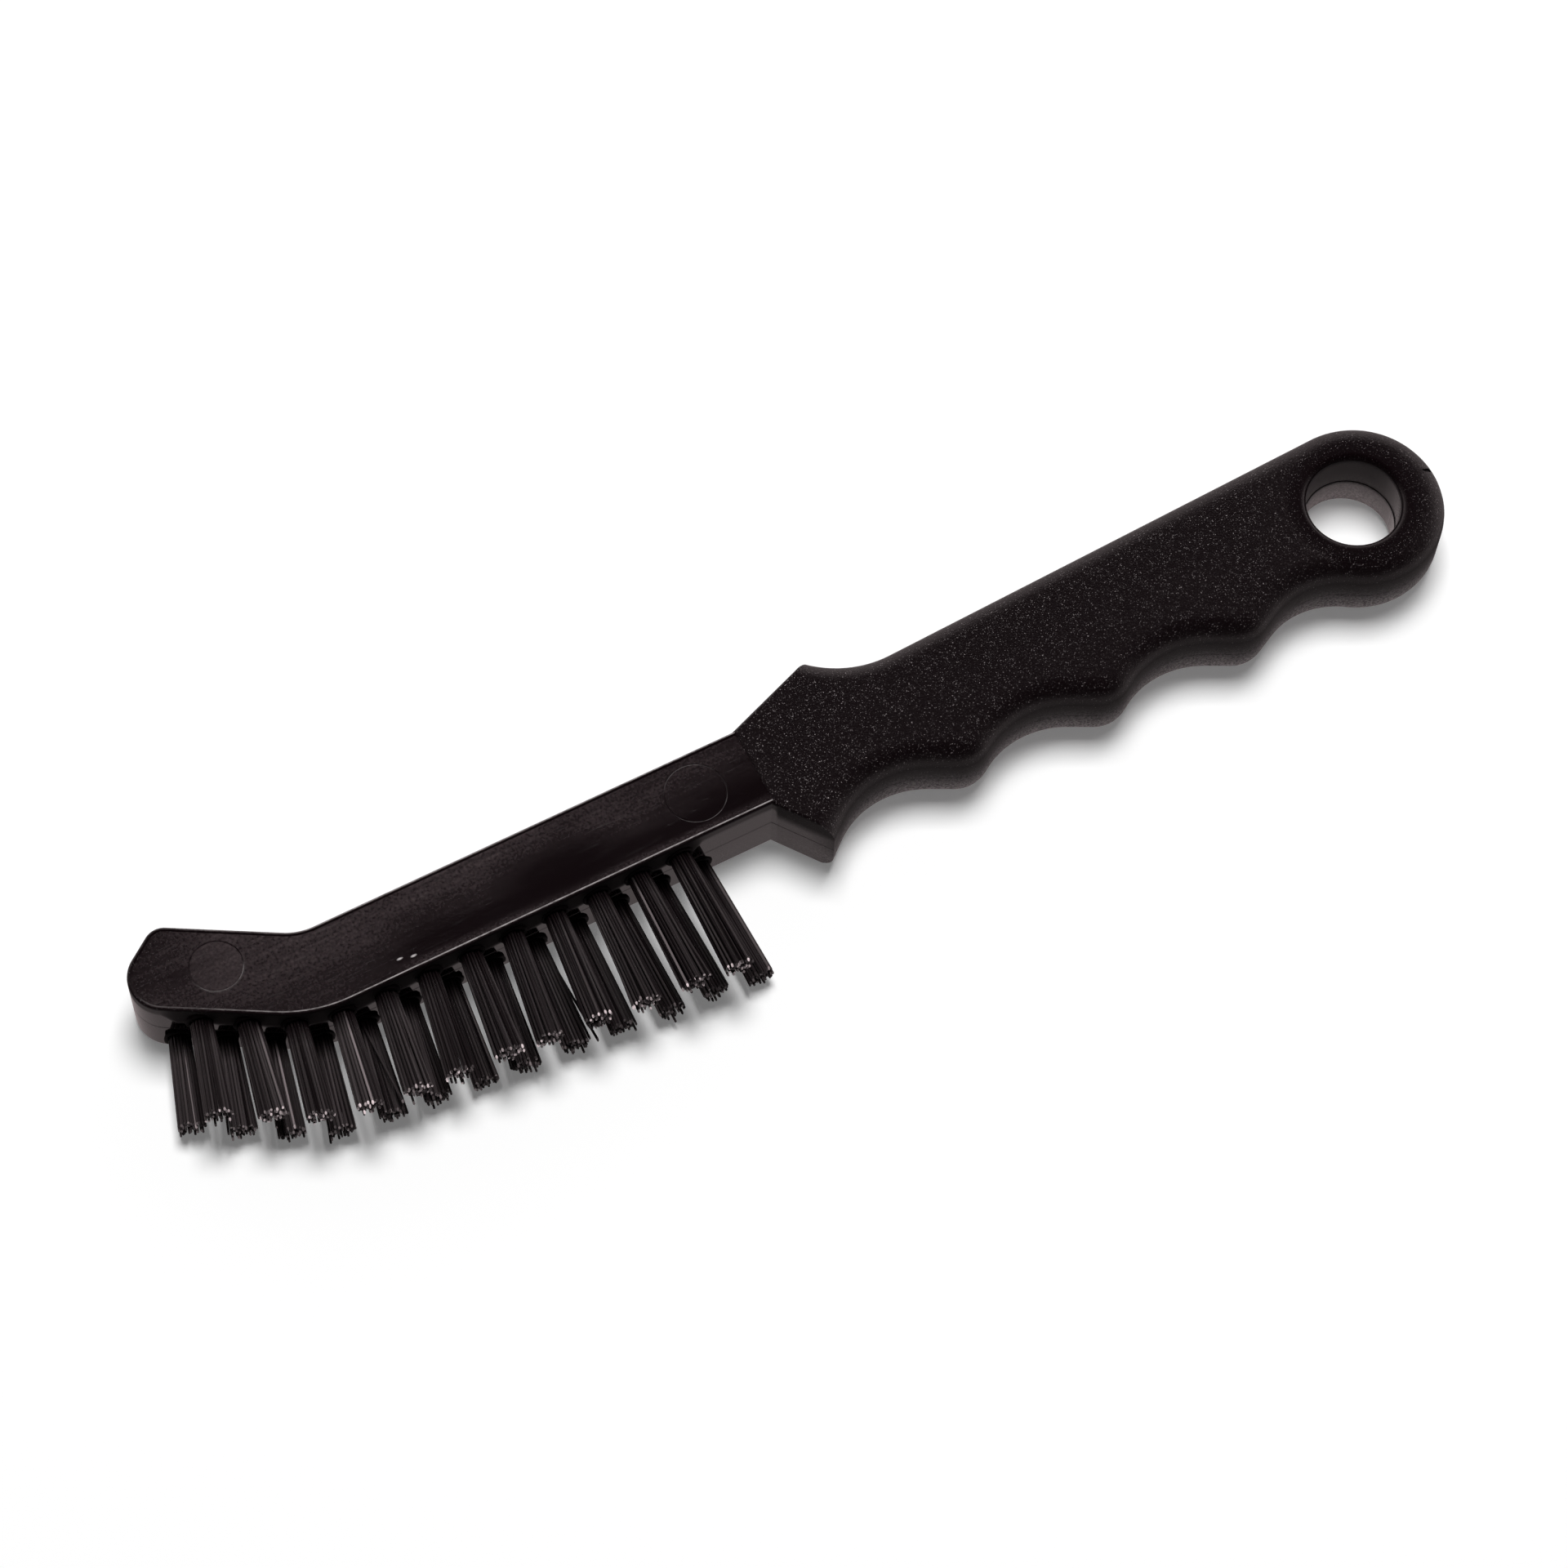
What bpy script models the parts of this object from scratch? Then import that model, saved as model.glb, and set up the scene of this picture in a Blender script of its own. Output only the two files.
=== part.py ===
"""Grill brush: a one-piece moulded handle with a kinked head and a grip with finger grooves, two staggered
rows of bristle tufts, and the flat wire anchors that hold each folded tuft at the bottom of its drilled hole.

Metres. The brush lies flat on its side: the underside is z = 0, X runs from the head to the hanging hole,
and the bristles point towards -Y. The origin is where the head meets the grip."""

from math import asin, atan2, ceil, cos, pi, radians, sin, tan

import bmesh
import bpy
from mathutils import Matrix, Vector

CLEARANCE = 0.0003  # between pieces that touch

THICKNESS = 0.0140

HEAD_STRAIGHT = 0.0737
HEAD_WIDTH = 0.0141
HEAD_EDGE_RADIUS = 0.0008
BEND_ANGLE = radians(30)
BEND_INNER_RADIUS = 0.0097
TIP_LENGTH = 0.0203  # along the tip's upper edge, from the bend to the sloped end
TIP_END_SLANT = radians(24.4)
TIP_UPPER_CORNER = 0.0032
TIP_LOWER_CORNER = 0.0059
HEAD_OVERLAP = 0.010  # how far the head runs on inside the grip

GRIP_LENGTH = 0.1120  # from the head to the centre of the rounded end
GRIP_EDGE_RADIUS = 0.0038
END_RADIUS = 0.0145
END_DROP = 0.0021  # the rounded end's centre lies this far to the bristle side
HANG_HOLE_INSET = 0.0010  # from the rounded end's centre to the hanging hole's, towards the head
HANG_HOLE_RADIUS = 0.0078
HANG_HOLE_FILLET = 0.0014
GRIP_TAPER = radians(2.4)
NECK_DISTANCE = 0.0298
NECK_RADIUS = 0.0174
NECK_TURN = radians(62)
UPPER_SHOULDER_ANGLE = radians(20.3)
LOWER_SHOULDER_ANGLE = radians(53.8)
LOWER_SHOULDER_REACH = 0.01605  # from the centre line to the lower shoulder's corner
BLANK_OVERHANG = 0.010  # what the shoulders' cut takes off the grip

GROOVES = 4
GROOVE_PITCH = 0.02565
GROOVE_RADIUS = 0.0154
RIDGE_RADIUS = 0.006
FIRST_GROOVE = 0.0193
GROOVE_REACH = 0.0101  # from the centre line to the first groove's floor
GROOVE_TO_RIDGE = 0.0135
RIDGE_HEIGHT = 0.004
GROOVE_SLOPE = 0.022  # the grip grows wider towards the hole

LOWER_TUFTS = 13
UPPER_TUFTS = 12
FIRST_TUFT = 0.0132
TOE_MARGIN = 0.0019
ROW_STAGGER = 0.0034
ROW_WALL = 0.00145  # plastic between a tuft hole and the face beside it
TUFT_RADIUS = 0.0018
HOLE_FLOOR = 0.0038  # plastic behind a tuft hole
TRIM_HEEL = 0.0217
TRIM_BEND = 0.0164
TRIM_TOE = 0.0156
LEAN_HEEL = radians(0.5)
LEAN_TOE = radians(15.7)
TUFT_SPLAY = 1.25
TUFT_FOLD = 0.0012  # bristle that passes behind the anchor
TRIM_UNEVEN = 0.0004
TUFT_CELLS = 4  # strands along each side of a tuft's square pattern
STRAND_GAP = 0.00022

ANCHOR_THICKNESS = 0.0005
ANCHOR_WIDTH = 0.0016
ANCHOR_BITE = 0.0005  # how far each end of an anchor enters the plastic

ARC_STEP = radians(11)
HOLE_SIDES = 16
EDGE_SEGMENTS = 4
HEAD_EDGE_SEGMENTS = 2
BORE_STEPS = 32
CUTTER_MARGIN = 0.003

HOLE_RADIUS = TUFT_RADIUS + CLEARANCE
HOLE_DEPTH = HEAD_WIDTH - HOLE_FLOOR
ANCHOR_LENGTH = 2 * (HOLE_RADIUS + ANCHOR_BITE)
ANCHOR_DEPTH = HOLE_DEPTH - TUFT_FOLD - 2 * CLEARANCE - ANCHOR_WIDTH / 2
BEND_OUTER_RADIUS = BEND_INNER_RADIUS + HEAD_WIDTH
BEND_CENTRE = Vector((-HEAD_STRAIGHT, BEND_INNER_RADIUS + HEAD_WIDTH / 2))
TIP_HEADING = Vector((-cos(BEND_ANGLE), sin(BEND_ANGLE)))
TIP_UP = Vector((sin(BEND_ANGLE), cos(BEND_ANGLE)))
GRIP_END = Vector((GRIP_LENGTH, -END_DROP))
HANG_HOLE = GRIP_END - Vector((HANG_HOLE_INSET, 0))


def clear_scene():
    for obj in list(bpy.data.objects):
        bpy.data.objects.remove(obj, do_unlink=True)


def collection(name):
    made = bpy.data.collections.new(name)
    bpy.context.scene.collection.children.link(made)
    return made


def material(name, colour, roughness, metallic=0.0):
    made = bpy.data.materials.new(name)
    made.use_nodes = True
    shader = made.node_tree.nodes["Principled BSDF"]
    shader.inputs["Base Color"].default_value = (*colour, 1.0)
    shader.inputs["Roughness"].default_value = roughness
    shader.inputs["Metallic"].default_value = metallic
    made.diffuse_color = (*colour, 1.0)
    return made


def add_object(name, mesh, group, finish=None, matrix=None):
    obj = bpy.data.objects.new(name, mesh)
    group.objects.link(obj)
    if matrix is not None:
        obj.matrix_world = matrix
    if finish is not None:
        obj.data.materials.append(finish)
    return obj


def as_cutter(obj):
    obj.hide_render = True
    obj.display_type = "WIRE"
    return obj


def boolean(obj, other, operation):
    modifier = obj.modifiers.new(f"{operation.lower()} {other.name}", "BOOLEAN")
    modifier.operation = operation
    modifier.object = other
    modifier.solver = "EXACT"


def circle(centre, radius, turn):
    """One bend of an outline: turn is +1 where the outline runs round it to the left and -1 to the right."""
    return Vector(centre), radius * turn


def corner(before, point, after, radius):
    """The circle that rounds the corner at a point between two straight runs."""
    into = (point - before).normalized()
    out = (after - point).normalized()
    turned = (out - into).normalized()
    half = (pi - into.angle(out)) / 2
    side = 1 if into.cross(out) > 0 else -1
    return circle(point + turned * (radius / sin(half)), radius, side)


def heading_between(first, second):
    """The heading of the straight run that leaves one circle and meets the next."""
    span = second[0] - first[0]
    lean = (first[1] - second[1]) / span.length
    return atan2(span.y, span.x) + asin(max(-1.0, min(1.0, lean)))


def on_circle(bend, heading):
    centre, signed = bend
    return centre + Vector((sin(heading), -cos(heading))) * signed


def outline_of(bends):
    """The points of a closed outline that runs round each bend in turn, joined by straight tangents."""
    points = []
    headings = [heading_between(bend, bends[(i + 1) % len(bends)]) for i, bend in enumerate(bends)]
    for i, bend in enumerate(bends):
        start = headings[i - 1]
        sweep = (headings[i] - start) % (2 * pi)
        if bend[1] == 0:
            points.append(bend[0])
            continue
        if bend[1] < 0 and sweep > 0:
            sweep -= 2 * pi
        if abs(sweep) > 1.9 * pi:
            sweep = 0
        steps = max(1, ceil(abs(sweep) / ARC_STEP))
        points += [on_circle(bend, start + sweep * k / steps) for k in range(steps + 1)]
    return points


def plate(name, points, low, high, group, radius=0.0, segments=1):
    """A flat outline of the given height, as a mesh. The rims of its two faces are rounded to the radius."""
    curve = bpy.data.curves.new(name, "CURVE")
    curve.dimensions = "2D"
    curve.fill_mode = "BOTH"
    curve.extrude = (high - low) / 2 - radius
    curve.bevel_depth = radius
    curve.bevel_resolution = segments - 1
    curve.offset = -radius
    spline = curve.splines.new("POLY")
    spline.points.add(len(points) - 1)
    for place, point in zip(spline.points, points):
        place.co = (point.x, point.y, 0, 1)
    spline.use_cyclic_u = True
    guide = bpy.data.objects.new(name, curve)
    group.objects.link(guide)
    guide.location.z = (low + high) / 2
    bpy.context.view_layer.update()
    graph = bpy.context.evaluated_depsgraph_get()
    mesh = bpy.data.meshes.new_from_object(guide.evaluated_get(graph))
    mesh.transform(guide.matrix_world)
    bpy.data.objects.remove(guide, do_unlink=True)
    shape = bmesh.new()
    shape.from_mesh(mesh)
    bmesh.ops.remove_doubles(shape, verts=shape.verts, dist=1e-6)
    bmesh.ops.recalc_face_normals(shape, faces=shape.faces)
    shape.to_mesh(mesh)
    shape.free()
    return add_object(name, mesh, group)


def groove(number):
    """The place of one finger groove's floor."""
    run = number * GROOVE_PITCH
    return Vector((FIRST_GROOVE + run, -GROOVE_REACH - GROOVE_SLOPE * run))


def touching_radius(floor):
    """The radius of a groove with this floor that just touches the round end."""
    span = GRIP_END - floor
    return (span.length_squared - END_RADIUS ** 2) / (2 * (END_RADIUS - span.y))


def grip_outline():
    """The grip, with the material that the shoulders' cut takes off."""
    shoulder_run = (LOWER_SHOULDER_REACH - HEAD_WIDTH / 2) / tan(LOWER_SHOULDER_ANGLE)
    shoulder = Vector((shoulder_run, -LOWER_SHOULDER_REACH))
    grooves = []
    for k in range(GROOVES):
        radius = min(GROOVE_RADIUS, touching_radius(groove(k)))
        grooves.append(circle(groove(k) - Vector((0, radius)), radius, -1))
    first_flank = heading_between((shoulder, 0.0), grooves[0])
    below = shoulder - Vector((cos(first_flank), sin(first_flank))) * BLANK_OVERHANG
    bends = [(Vector((-BLANK_OVERHANG, below.y)), 0.0), (below, 0.0)]
    for k in range(GROOVES):
        bends.append(grooves[k])
        if k < GROOVES - 1:
            crest = groove(k) + Vector((GROOVE_TO_RIDGE, -RIDGE_HEIGHT - GROOVE_SLOPE * GROOVE_TO_RIDGE))
            bends.append(circle(crest + Vector((0, RIDGE_RADIUS)), RIDGE_RADIUS, 1))
    bends.append(circle(GRIP_END, END_RADIUS, 1))
    back = pi + GRIP_TAPER
    leave = on_circle(bends[-1], back)
    neck = leave + Vector((cos(back), sin(back))) * ((leave.x - NECK_DISTANCE) / cos(GRIP_TAPER))
    sweep = circle(neck + Vector((sin(back), -cos(back))) * NECK_RADIUS, NECK_RADIUS, -1)
    bends.append(sweep)
    steep = back - NECK_TURN
    above = on_circle(sweep, steep) + Vector((cos(steep), sin(steep))) * BLANK_OVERHANG
    bends += [(above, 0.0), (Vector((-BLANK_OVERHANG, above.y)), 0.0)]
    return outline_of(bends)


def shoulder_outline():
    """The wedge whose slanting sides are the shoulders' flat faces. They start inside the head's edges."""
    reach = GRIP_LENGTH + 2 * END_RADIUS
    half = HEAD_WIDTH / 2

    def along(angle, side, distance):
        return Vector((distance * cos(angle), side * (half + distance * sin(angle))))

    return [
        along(UPPER_SHOULDER_ANGLE, 1, -HEAD_EDGE_RADIUS),
        along(LOWER_SHOULDER_ANGLE, -1, -HEAD_EDGE_RADIUS),
        along(LOWER_SHOULDER_ANGLE, -1, reach),
        Vector((2 * reach, -half - reach)),
        along(UPPER_SHOULDER_ANGLE, 1, 2 * reach),
    ]


def head_outline():
    half = HEAD_WIDTH / 2
    centre = BEND_CENTRE + Vector((-sin(BEND_ANGLE), -cos(BEND_ANGLE))) * (BEND_INNER_RADIUS + half)
    upper = centre + TIP_HEADING * TIP_LENGTH + TIP_UP * half
    lower = centre + TIP_HEADING * (TIP_LENGTH + HEAD_WIDTH * tan(TIP_END_SLANT)) - TIP_UP * half
    bend_upper = centre + TIP_UP * half
    bend_lower = centre - TIP_UP * half
    bends = [
        circle(BEND_CENTRE, BEND_OUTER_RADIUS, 1),
        (Vector((HEAD_OVERLAP, -half)), 0.0),
        (Vector((HEAD_OVERLAP, half)), 0.0),
        circle(BEND_CENTRE, BEND_INNER_RADIUS, -1),
        corner(bend_upper, upper, lower, TIP_UPPER_CORNER),
        corner(upper, lower, bend_lower, TIP_LOWER_CORNER),
    ]
    return outline_of(bends)


def lower_edge_length():
    """From the grip, along the bristle side of the head, to where the tip's lower corner starts to curve."""
    corner_run = TIP_LOWER_CORNER * tan((pi / 2 + TIP_END_SLANT) / 2)
    tip_run = TIP_LENGTH + HEAD_WIDTH * tan(TIP_END_SLANT) - corner_run
    return HEAD_STRAIGHT + BEND_OUTER_RADIUS * BEND_ANGLE + tip_run


def on_lower_edge(run):
    """The point that lies a given distance from the grip along the bristle side of the head."""
    if run <= HEAD_STRAIGHT:
        return Vector((-run, -HEAD_WIDTH / 2))
    turned = min((run - HEAD_STRAIGHT) / BEND_OUTER_RADIUS, BEND_ANGLE)
    point = BEND_CENTRE - Vector((sin(turned), cos(turned))) * BEND_OUTER_RADIUS
    past = run - HEAD_STRAIGHT - BEND_OUTER_RADIUS * BEND_ANGLE
    return point + TIP_HEADING * max(0.0, past)


def trimmed_length(run, last):
    """How far a tuft stands out: its tips are trimmed shorter towards the bend, and a little more past it."""
    if run <= HEAD_STRAIGHT:
        share = (run - FIRST_TUFT) / (HEAD_STRAIGHT - FIRST_TUFT)
        return TRIM_HEEL + (TRIM_BEND - TRIM_HEEL) * share
    return TRIM_BEND + (TRIM_TOE - TRIM_BEND) * (run - HEAD_STRAIGHT) / (last - HEAD_STRAIGHT)


def tuft_places():
    """Each tuft's name, its frame at the mouth of its hole with +Z out along the bristles, and its length."""
    last = lower_edge_length() - TOE_MARGIN
    pitch = (last - FIRST_TUFT) / (LOWER_TUFTS - 1)
    row_height = HOLE_RADIUS + ROW_WALL
    places = []
    for row, count, offset, z in (
        ("lower", LOWER_TUFTS, 0.0, row_height),
        ("upper", UPPER_TUFTS, ROW_STAGGER, THICKNESS - row_height),
    ):
        for number in range(count):
            run = FIRST_TUFT + offset + number * pitch
            lean = LEAN_HEEL + (LEAN_TOE - LEAN_HEEL) * (run - FIRST_TUFT) / (last - FIRST_TUFT)
            length = trimmed_length(run, last)
            mouth = on_lower_edge(run)
            along = Vector((cos(lean), -sin(lean), 0))
            out = Vector((-sin(lean), -cos(lean), 0))
            frame = Matrix((along, (0, 0, 1), out)).transposed().to_4x4()
            frame.translation = (mouth.x, mouth.y, z)
            places.append((f"{row}_{number + 1:02d}", frame, length))
    return places


def add_cylinder(shape, frame, radius, low, high):
    """A cylinder along a tuft's axis, between two distances from the mouth of its hole."""
    middle = frame @ Matrix.Translation((0, 0, (low + high) / 2))
    bmesh.ops.create_cone(
        shape,
        cap_ends=True,
        segments=HOLE_SIDES,
        radius1=radius,
        radius2=radius,
        depth=high - low,
        matrix=middle,
    )


def add_box(shape, frame, size):
    bmesh.ops.create_cube(shape, size=1.0, matrix=frame @ Matrix.Diagonal((*size, 1.0)))


def mesh_of(shape, name):
    mesh = bpy.data.meshes.new(name)
    shape.to_mesh(mesh)
    shape.free()
    return mesh


def tuft_hole_cutter(places, group):
    shape = bmesh.new()
    for _, frame, _ in places:
        add_cylinder(shape, frame, HOLE_RADIUS, -HOLE_DEPTH, CUTTER_MARGIN)
    return as_cutter(add_object("tuft_holes", mesh_of(shape, "tuft_holes"), group))


def anchor_slot_cutter(places, group):
    """The room of every anchor: a notch in each wall of the hole, and the fold of the tuft between them."""
    shape = bmesh.new()
    room = 2 * CLEARANCE
    for _, frame, _ in places:
        seat = frame @ Matrix.Translation((0, 0, -ANCHOR_DEPTH))
        add_box(shape, seat, (ANCHOR_LENGTH + room, ANCHOR_THICKNESS + room, ANCHOR_WIDTH + room))
    return as_cutter(add_object("anchor_slots", mesh_of(shape, "anchor_slots"), group))


def hang_hole_cutter(group):
    """A turned cutter whose waist is the bore and whose ends flare over the rounded rims."""
    wide = HANG_HOLE_RADIUS + HANG_HOLE_FILLET
    profile = [(0, THICKNESS + CUTTER_MARGIN), (wide, THICKNESS + CUTTER_MARGIN)]
    for step in range(EDGE_SEGMENTS + 1):
        angle = pi / 2 * step / EDGE_SEGMENTS
        fall = HANG_HOLE_FILLET * (1 - cos(angle))
        profile.append((wide - HANG_HOLE_FILLET * sin(angle), THICKNESS - fall))
    profile += [(radius, THICKNESS - z) for radius, z in reversed(profile)]
    mesh = bpy.data.meshes.new("hang_hole")
    edges = [(k, k + 1) for k in range(len(profile) - 1)]
    mesh.from_pydata([(radius, 0, z) for radius, z in profile], edges, [])
    obj = as_cutter(add_object("hang_hole", mesh, group))
    obj.location = (HANG_HOLE.x, HANG_HOLE.y, 0)
    screw = obj.modifiers.new("turn", "SCREW")
    screw.steps = BORE_STEPS
    screw.render_steps = BORE_STEPS
    screw.use_merge_vertices = True
    screw.merge_threshold = 1e-5
    return obj


def handle(places, parts, cutters, finish):
    """The moulding: the grip cut to its shoulders, joined to the head, bored and drilled."""
    grip = plate("handle", grip_outline(), 0, THICKNESS, parts, GRIP_EDGE_RADIUS, EDGE_SEGMENTS)
    grip.data.materials.append(finish)
    wedge = plate("shoulder_wedge", shoulder_outline(), -CUTTER_MARGIN, THICKNESS + CUTTER_MARGIN, cutters)
    head = plate("head_blank", head_outline(), 0, THICKNESS, cutters, HEAD_EDGE_RADIUS, HEAD_EDGE_SEGMENTS)
    boolean(grip, as_cutter(wedge), "INTERSECT")
    boolean(grip, as_cutter(head), "UNION")
    boolean(grip, hang_hole_cutter(cutters), "DIFFERENCE")
    boolean(grip, tuft_hole_cutter(places, cutters), "DIFFERENCE")
    return grip


def uneven(number):
    """A repeatable scatter between -1 and 1, for trimmed ends that don't quite line up."""
    return 2 * ((sin(number * 12.9898) * 43758.5453) % 1.0) - 1


def tuft_mesh(name, length, seed):
    """A tuft from the fold at the bottom of its hole to its trimmed ends. The root is one packed slug,
    and each strand is drawn out of its own cell of the slug's face, so that all of them are fused to it."""
    shape = bmesh.new()
    bmesh.ops.create_grid(shape, x_segments=TUFT_CELLS, y_segments=TUFT_CELLS, size=1.0)
    for vert in shape.verts:
        a, b = vert.co.x, vert.co.y
        vert.co = Vector((a * (1 - b * b / 2) ** 0.5, b * (1 - a * a / 2) ** 0.5, 0)) * TUFT_RADIUS
    corners = [vert for vert in shape.verts if len(vert.link_faces) == 1]
    bmesh.ops.dissolve_verts(shape, verts=corners)
    cells = list(shape.faces)
    rim = [edge for edge in shape.edges if edge.is_boundary]
    sides = bmesh.ops.extrude_edge_only(shape, edges=rim)["geom"]
    root = -(HOLE_DEPTH - CLEARANCE)
    for vert in (item for item in sides if isinstance(item, bmesh.types.BMVert)):
        vert.co.z = root
    bmesh.ops.holes_fill(shape, edges=[edge for edge in shape.edges if edge.is_boundary], sides=0)
    bmesh.ops.inset_individual(shape, faces=cells, thickness=STRAND_GAP / 2)
    drawn = bmesh.ops.extrude_discrete_faces(shape, faces=cells)["faces"]
    for number, tip in enumerate(drawn):
        centre = tip.calc_center_median()
        reach = length + TRIM_UNEVEN * uneven(seed * len(drawn) + number)
        shift = Vector((centre.x * (TUFT_SPLAY - 1), centre.y * (TUFT_SPLAY - 1), reach))
        bmesh.ops.translate(shape, verts=tip.verts, vec=shift)
    bmesh.ops.recalc_face_normals(shape, faces=shape.faces)
    return mesh_of(shape, name)


def anchor_mesh(name):
    shape = bmesh.new()
    add_box(shape, Matrix.Identity(4), (ANCHOR_LENGTH, ANCHOR_THICKNESS, ANCHOR_WIDTH))
    return mesh_of(shape, name)


def build():
    clear_scene()
    parts = collection("grill_brush")
    cutters = collection("cutters")
    black_plastic = material("black_plastic", (0.012, 0.011, 0.011), 0.45)
    black_filament = material("black_filament", (0.010, 0.009, 0.009), 0.35)
    anchor_wire = material("anchor_wire", (0.55, 0.53, 0.50), 0.35, 1.0)
    places = tuft_places()
    slots = anchor_slot_cutter(places, cutters)
    body = handle(places, parts, cutters, black_plastic)
    boolean(body, slots, "DIFFERENCE")
    for seed, (name, frame, length) in enumerate(places):
        strands = tuft_mesh(f"tuft_{name}", length, seed)
        tuft = add_object(f"tuft_{name}", strands, parts, black_filament, frame)
        boolean(tuft, slots, "DIFFERENCE")
        seat = frame @ Matrix.Translation((0, 0, -ANCHOR_DEPTH))
        add_object(f"anchor_{name}", anchor_mesh(f"anchor_{name}"), parts, anchor_wire, seat)


build()
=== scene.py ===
# %% [markdown]
# # A grill brush: a moulded black handle with two rows of bristle tufts
#
# This file builds the looks of a small grill brush around its CAD model. The model is the fixed frame:
# it says where the handle ends, where each tuft leaves the head and where each wire anchor sits.
# Here the handle gets smooth rounded edges and its moulding marks, each tuft gets real folded
# filaments, and everything gets a finish. The brush lies on its side on a pale floor, and the camera
# looks down on it from the bristle side.

import random
from math import asin, atan2, ceil, cos, pi, radians, sin, tan

import bpy
import numpy as np
from mathutils import Matrix, Vector


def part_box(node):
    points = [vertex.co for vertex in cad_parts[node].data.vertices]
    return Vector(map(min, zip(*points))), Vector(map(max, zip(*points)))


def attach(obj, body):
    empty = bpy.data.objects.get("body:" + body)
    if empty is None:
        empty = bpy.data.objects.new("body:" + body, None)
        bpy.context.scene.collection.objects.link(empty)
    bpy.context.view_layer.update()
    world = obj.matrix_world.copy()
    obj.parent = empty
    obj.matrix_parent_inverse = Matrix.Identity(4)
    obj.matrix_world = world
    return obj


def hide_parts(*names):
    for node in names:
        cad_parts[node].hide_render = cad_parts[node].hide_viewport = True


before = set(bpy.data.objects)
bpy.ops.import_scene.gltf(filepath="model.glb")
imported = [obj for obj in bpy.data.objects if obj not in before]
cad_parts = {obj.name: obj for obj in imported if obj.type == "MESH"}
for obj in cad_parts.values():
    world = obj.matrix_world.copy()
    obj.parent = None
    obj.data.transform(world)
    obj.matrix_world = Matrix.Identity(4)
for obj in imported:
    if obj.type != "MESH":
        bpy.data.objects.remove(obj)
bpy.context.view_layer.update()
MM = 0.001
print("nodes in the frame:", len(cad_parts))

# %% [markdown]
# ## Small tools for modelling
#
# The same few moves come back for every piece: start from a clean selection, add a primitive, apply a
# modifier, tidy a mesh. Each is an operator that could be clicked by hand. They are wrapped in short
# functions, so that each later cell reads like the steps in the workshop.

# %% Tools for selecting, applying and tidying
SAME_PLACE = 0.000001
FACE_WEIGHT = 80


def pick(*objects):
    """Selects only these objects. The first is the active one."""
    bpy.ops.object.select_all(action="DESELECT")
    for obj in objects:
        obj.select_set(True)
    bpy.context.view_layer.objects.active = objects[0]


def added(name):
    """The object that an operator has just made, under its name."""
    obj = bpy.context.object
    obj.name = name
    obj.data.name = name
    return obj


def add(operator, name, **settings):
    """Adds a primitive with nothing else selected."""
    bpy.ops.object.select_all(action="DESELECT")
    operator(**settings)
    return added(name)


def discard(obj):
    bpy.data.objects.remove(obj, do_unlink=True)


def edit(kind, action="SELECT"):
    """Goes into edit mode for points, edges or faces, with all of them selected or none."""
    bpy.ops.object.mode_set(mode="EDIT")
    bpy.ops.mesh.select_mode(type=kind)
    bpy.ops.mesh.select_all(action=action)


def leave_edit():
    bpy.ops.object.mode_set(mode="OBJECT")


def extrude(step):
    bpy.ops.mesh.extrude_region_move(TRANSFORM_OT_translate={"value": step})


def settle(obj):
    """Puts the object's place into its mesh, so that the object itself sits at the origin."""
    pick(obj)
    bpy.ops.object.transform_apply(location=True, rotation=True, scale=True)
    return obj


def apply_modifier(obj, kind, **settings):
    pick(obj)
    bpy.ops.object.modifier_add(type=kind)
    modifier = obj.modifiers[-1]
    for name, value in settings.items():
        setattr(modifier, name, value)
    bpy.ops.object.modifier_apply(modifier=modifier.name)


def cut(obj, tool, operation):
    """A Boolean with the tool, which is then thrown away."""
    apply_modifier(obj, "BOOLEAN", object=tool, operation=operation, solver="EXACT")
    discard(tool)


def tidy(obj, gap=SAME_PLACE):
    """Merges doubled points and turns every face outwards."""
    pick(obj)
    bpy.ops.object.mode_set(mode="EDIT")
    bpy.ops.mesh.select_all(action="SELECT")
    bpy.ops.mesh.remove_doubles(threshold=gap)
    bpy.ops.mesh.normals_make_consistent(inside=False)
    leave_edit()
    return obj


def smooth(obj, angle):
    """Soft shading inside rounded edges, crisp between faces, and flat faces that stay flat."""
    pick(obj)
    bpy.ops.object.shade_smooth_by_angle(angle=angle)
    apply_modifier(obj, "WEIGHTED_NORMAL", keep_sharp=True, weight=FACE_WEIGHT)


def points_of(mesh):
    """The places of a mesh's points, one in each row."""
    places = np.empty(len(mesh.vertices) * 3)
    mesh.vertices.foreach_get("co", places)
    return places.reshape(-1, 3)


def report(obj):
    """Prints a piece's size, and how many of its edges don't lie between two faces."""
    mesh = obj.data
    mesh.calc_loop_triangles()
    edges = np.empty(len(mesh.loops), dtype=np.int32)
    mesh.loops.foreach_get("edge_index", edges)
    open_edges = int((np.bincount(edges, minlength=len(mesh.edges)) != 2).sum())
    places = points_of(mesh) / MM
    print(obj.name, len(mesh.loop_triangles), "triangles,", open_edges, "open edges,",
          places.min(axis=0).round(2), "to", places.max(axis=0).round(2), "mm")


print("points closer than", SAME_PLACE / MM, "mm are taken for one")

# %% [markdown]
# ## Drawing an outline with straight runs and bends
#
# The handle's outline is a chain of arcs joined by straight lines that touch them smoothly. A drawing
# could be traced point by point, but then no bend would be truly round. Here a single point is
# extruded along each straight run and spun round the centre of each bend, which is how a draughtsman
# would draw it with a ruler and a compass.

# %% The ruler and the compass
ARC_STEP = radians(3)
FULL_TURN = 2 * pi
NO_TURN = 0.95 * FULL_TURN  # a turn of nothing can come out as nearly a full one
PEN_GAP = 0.00001
LEVEL_GAP = 0.0000001


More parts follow.
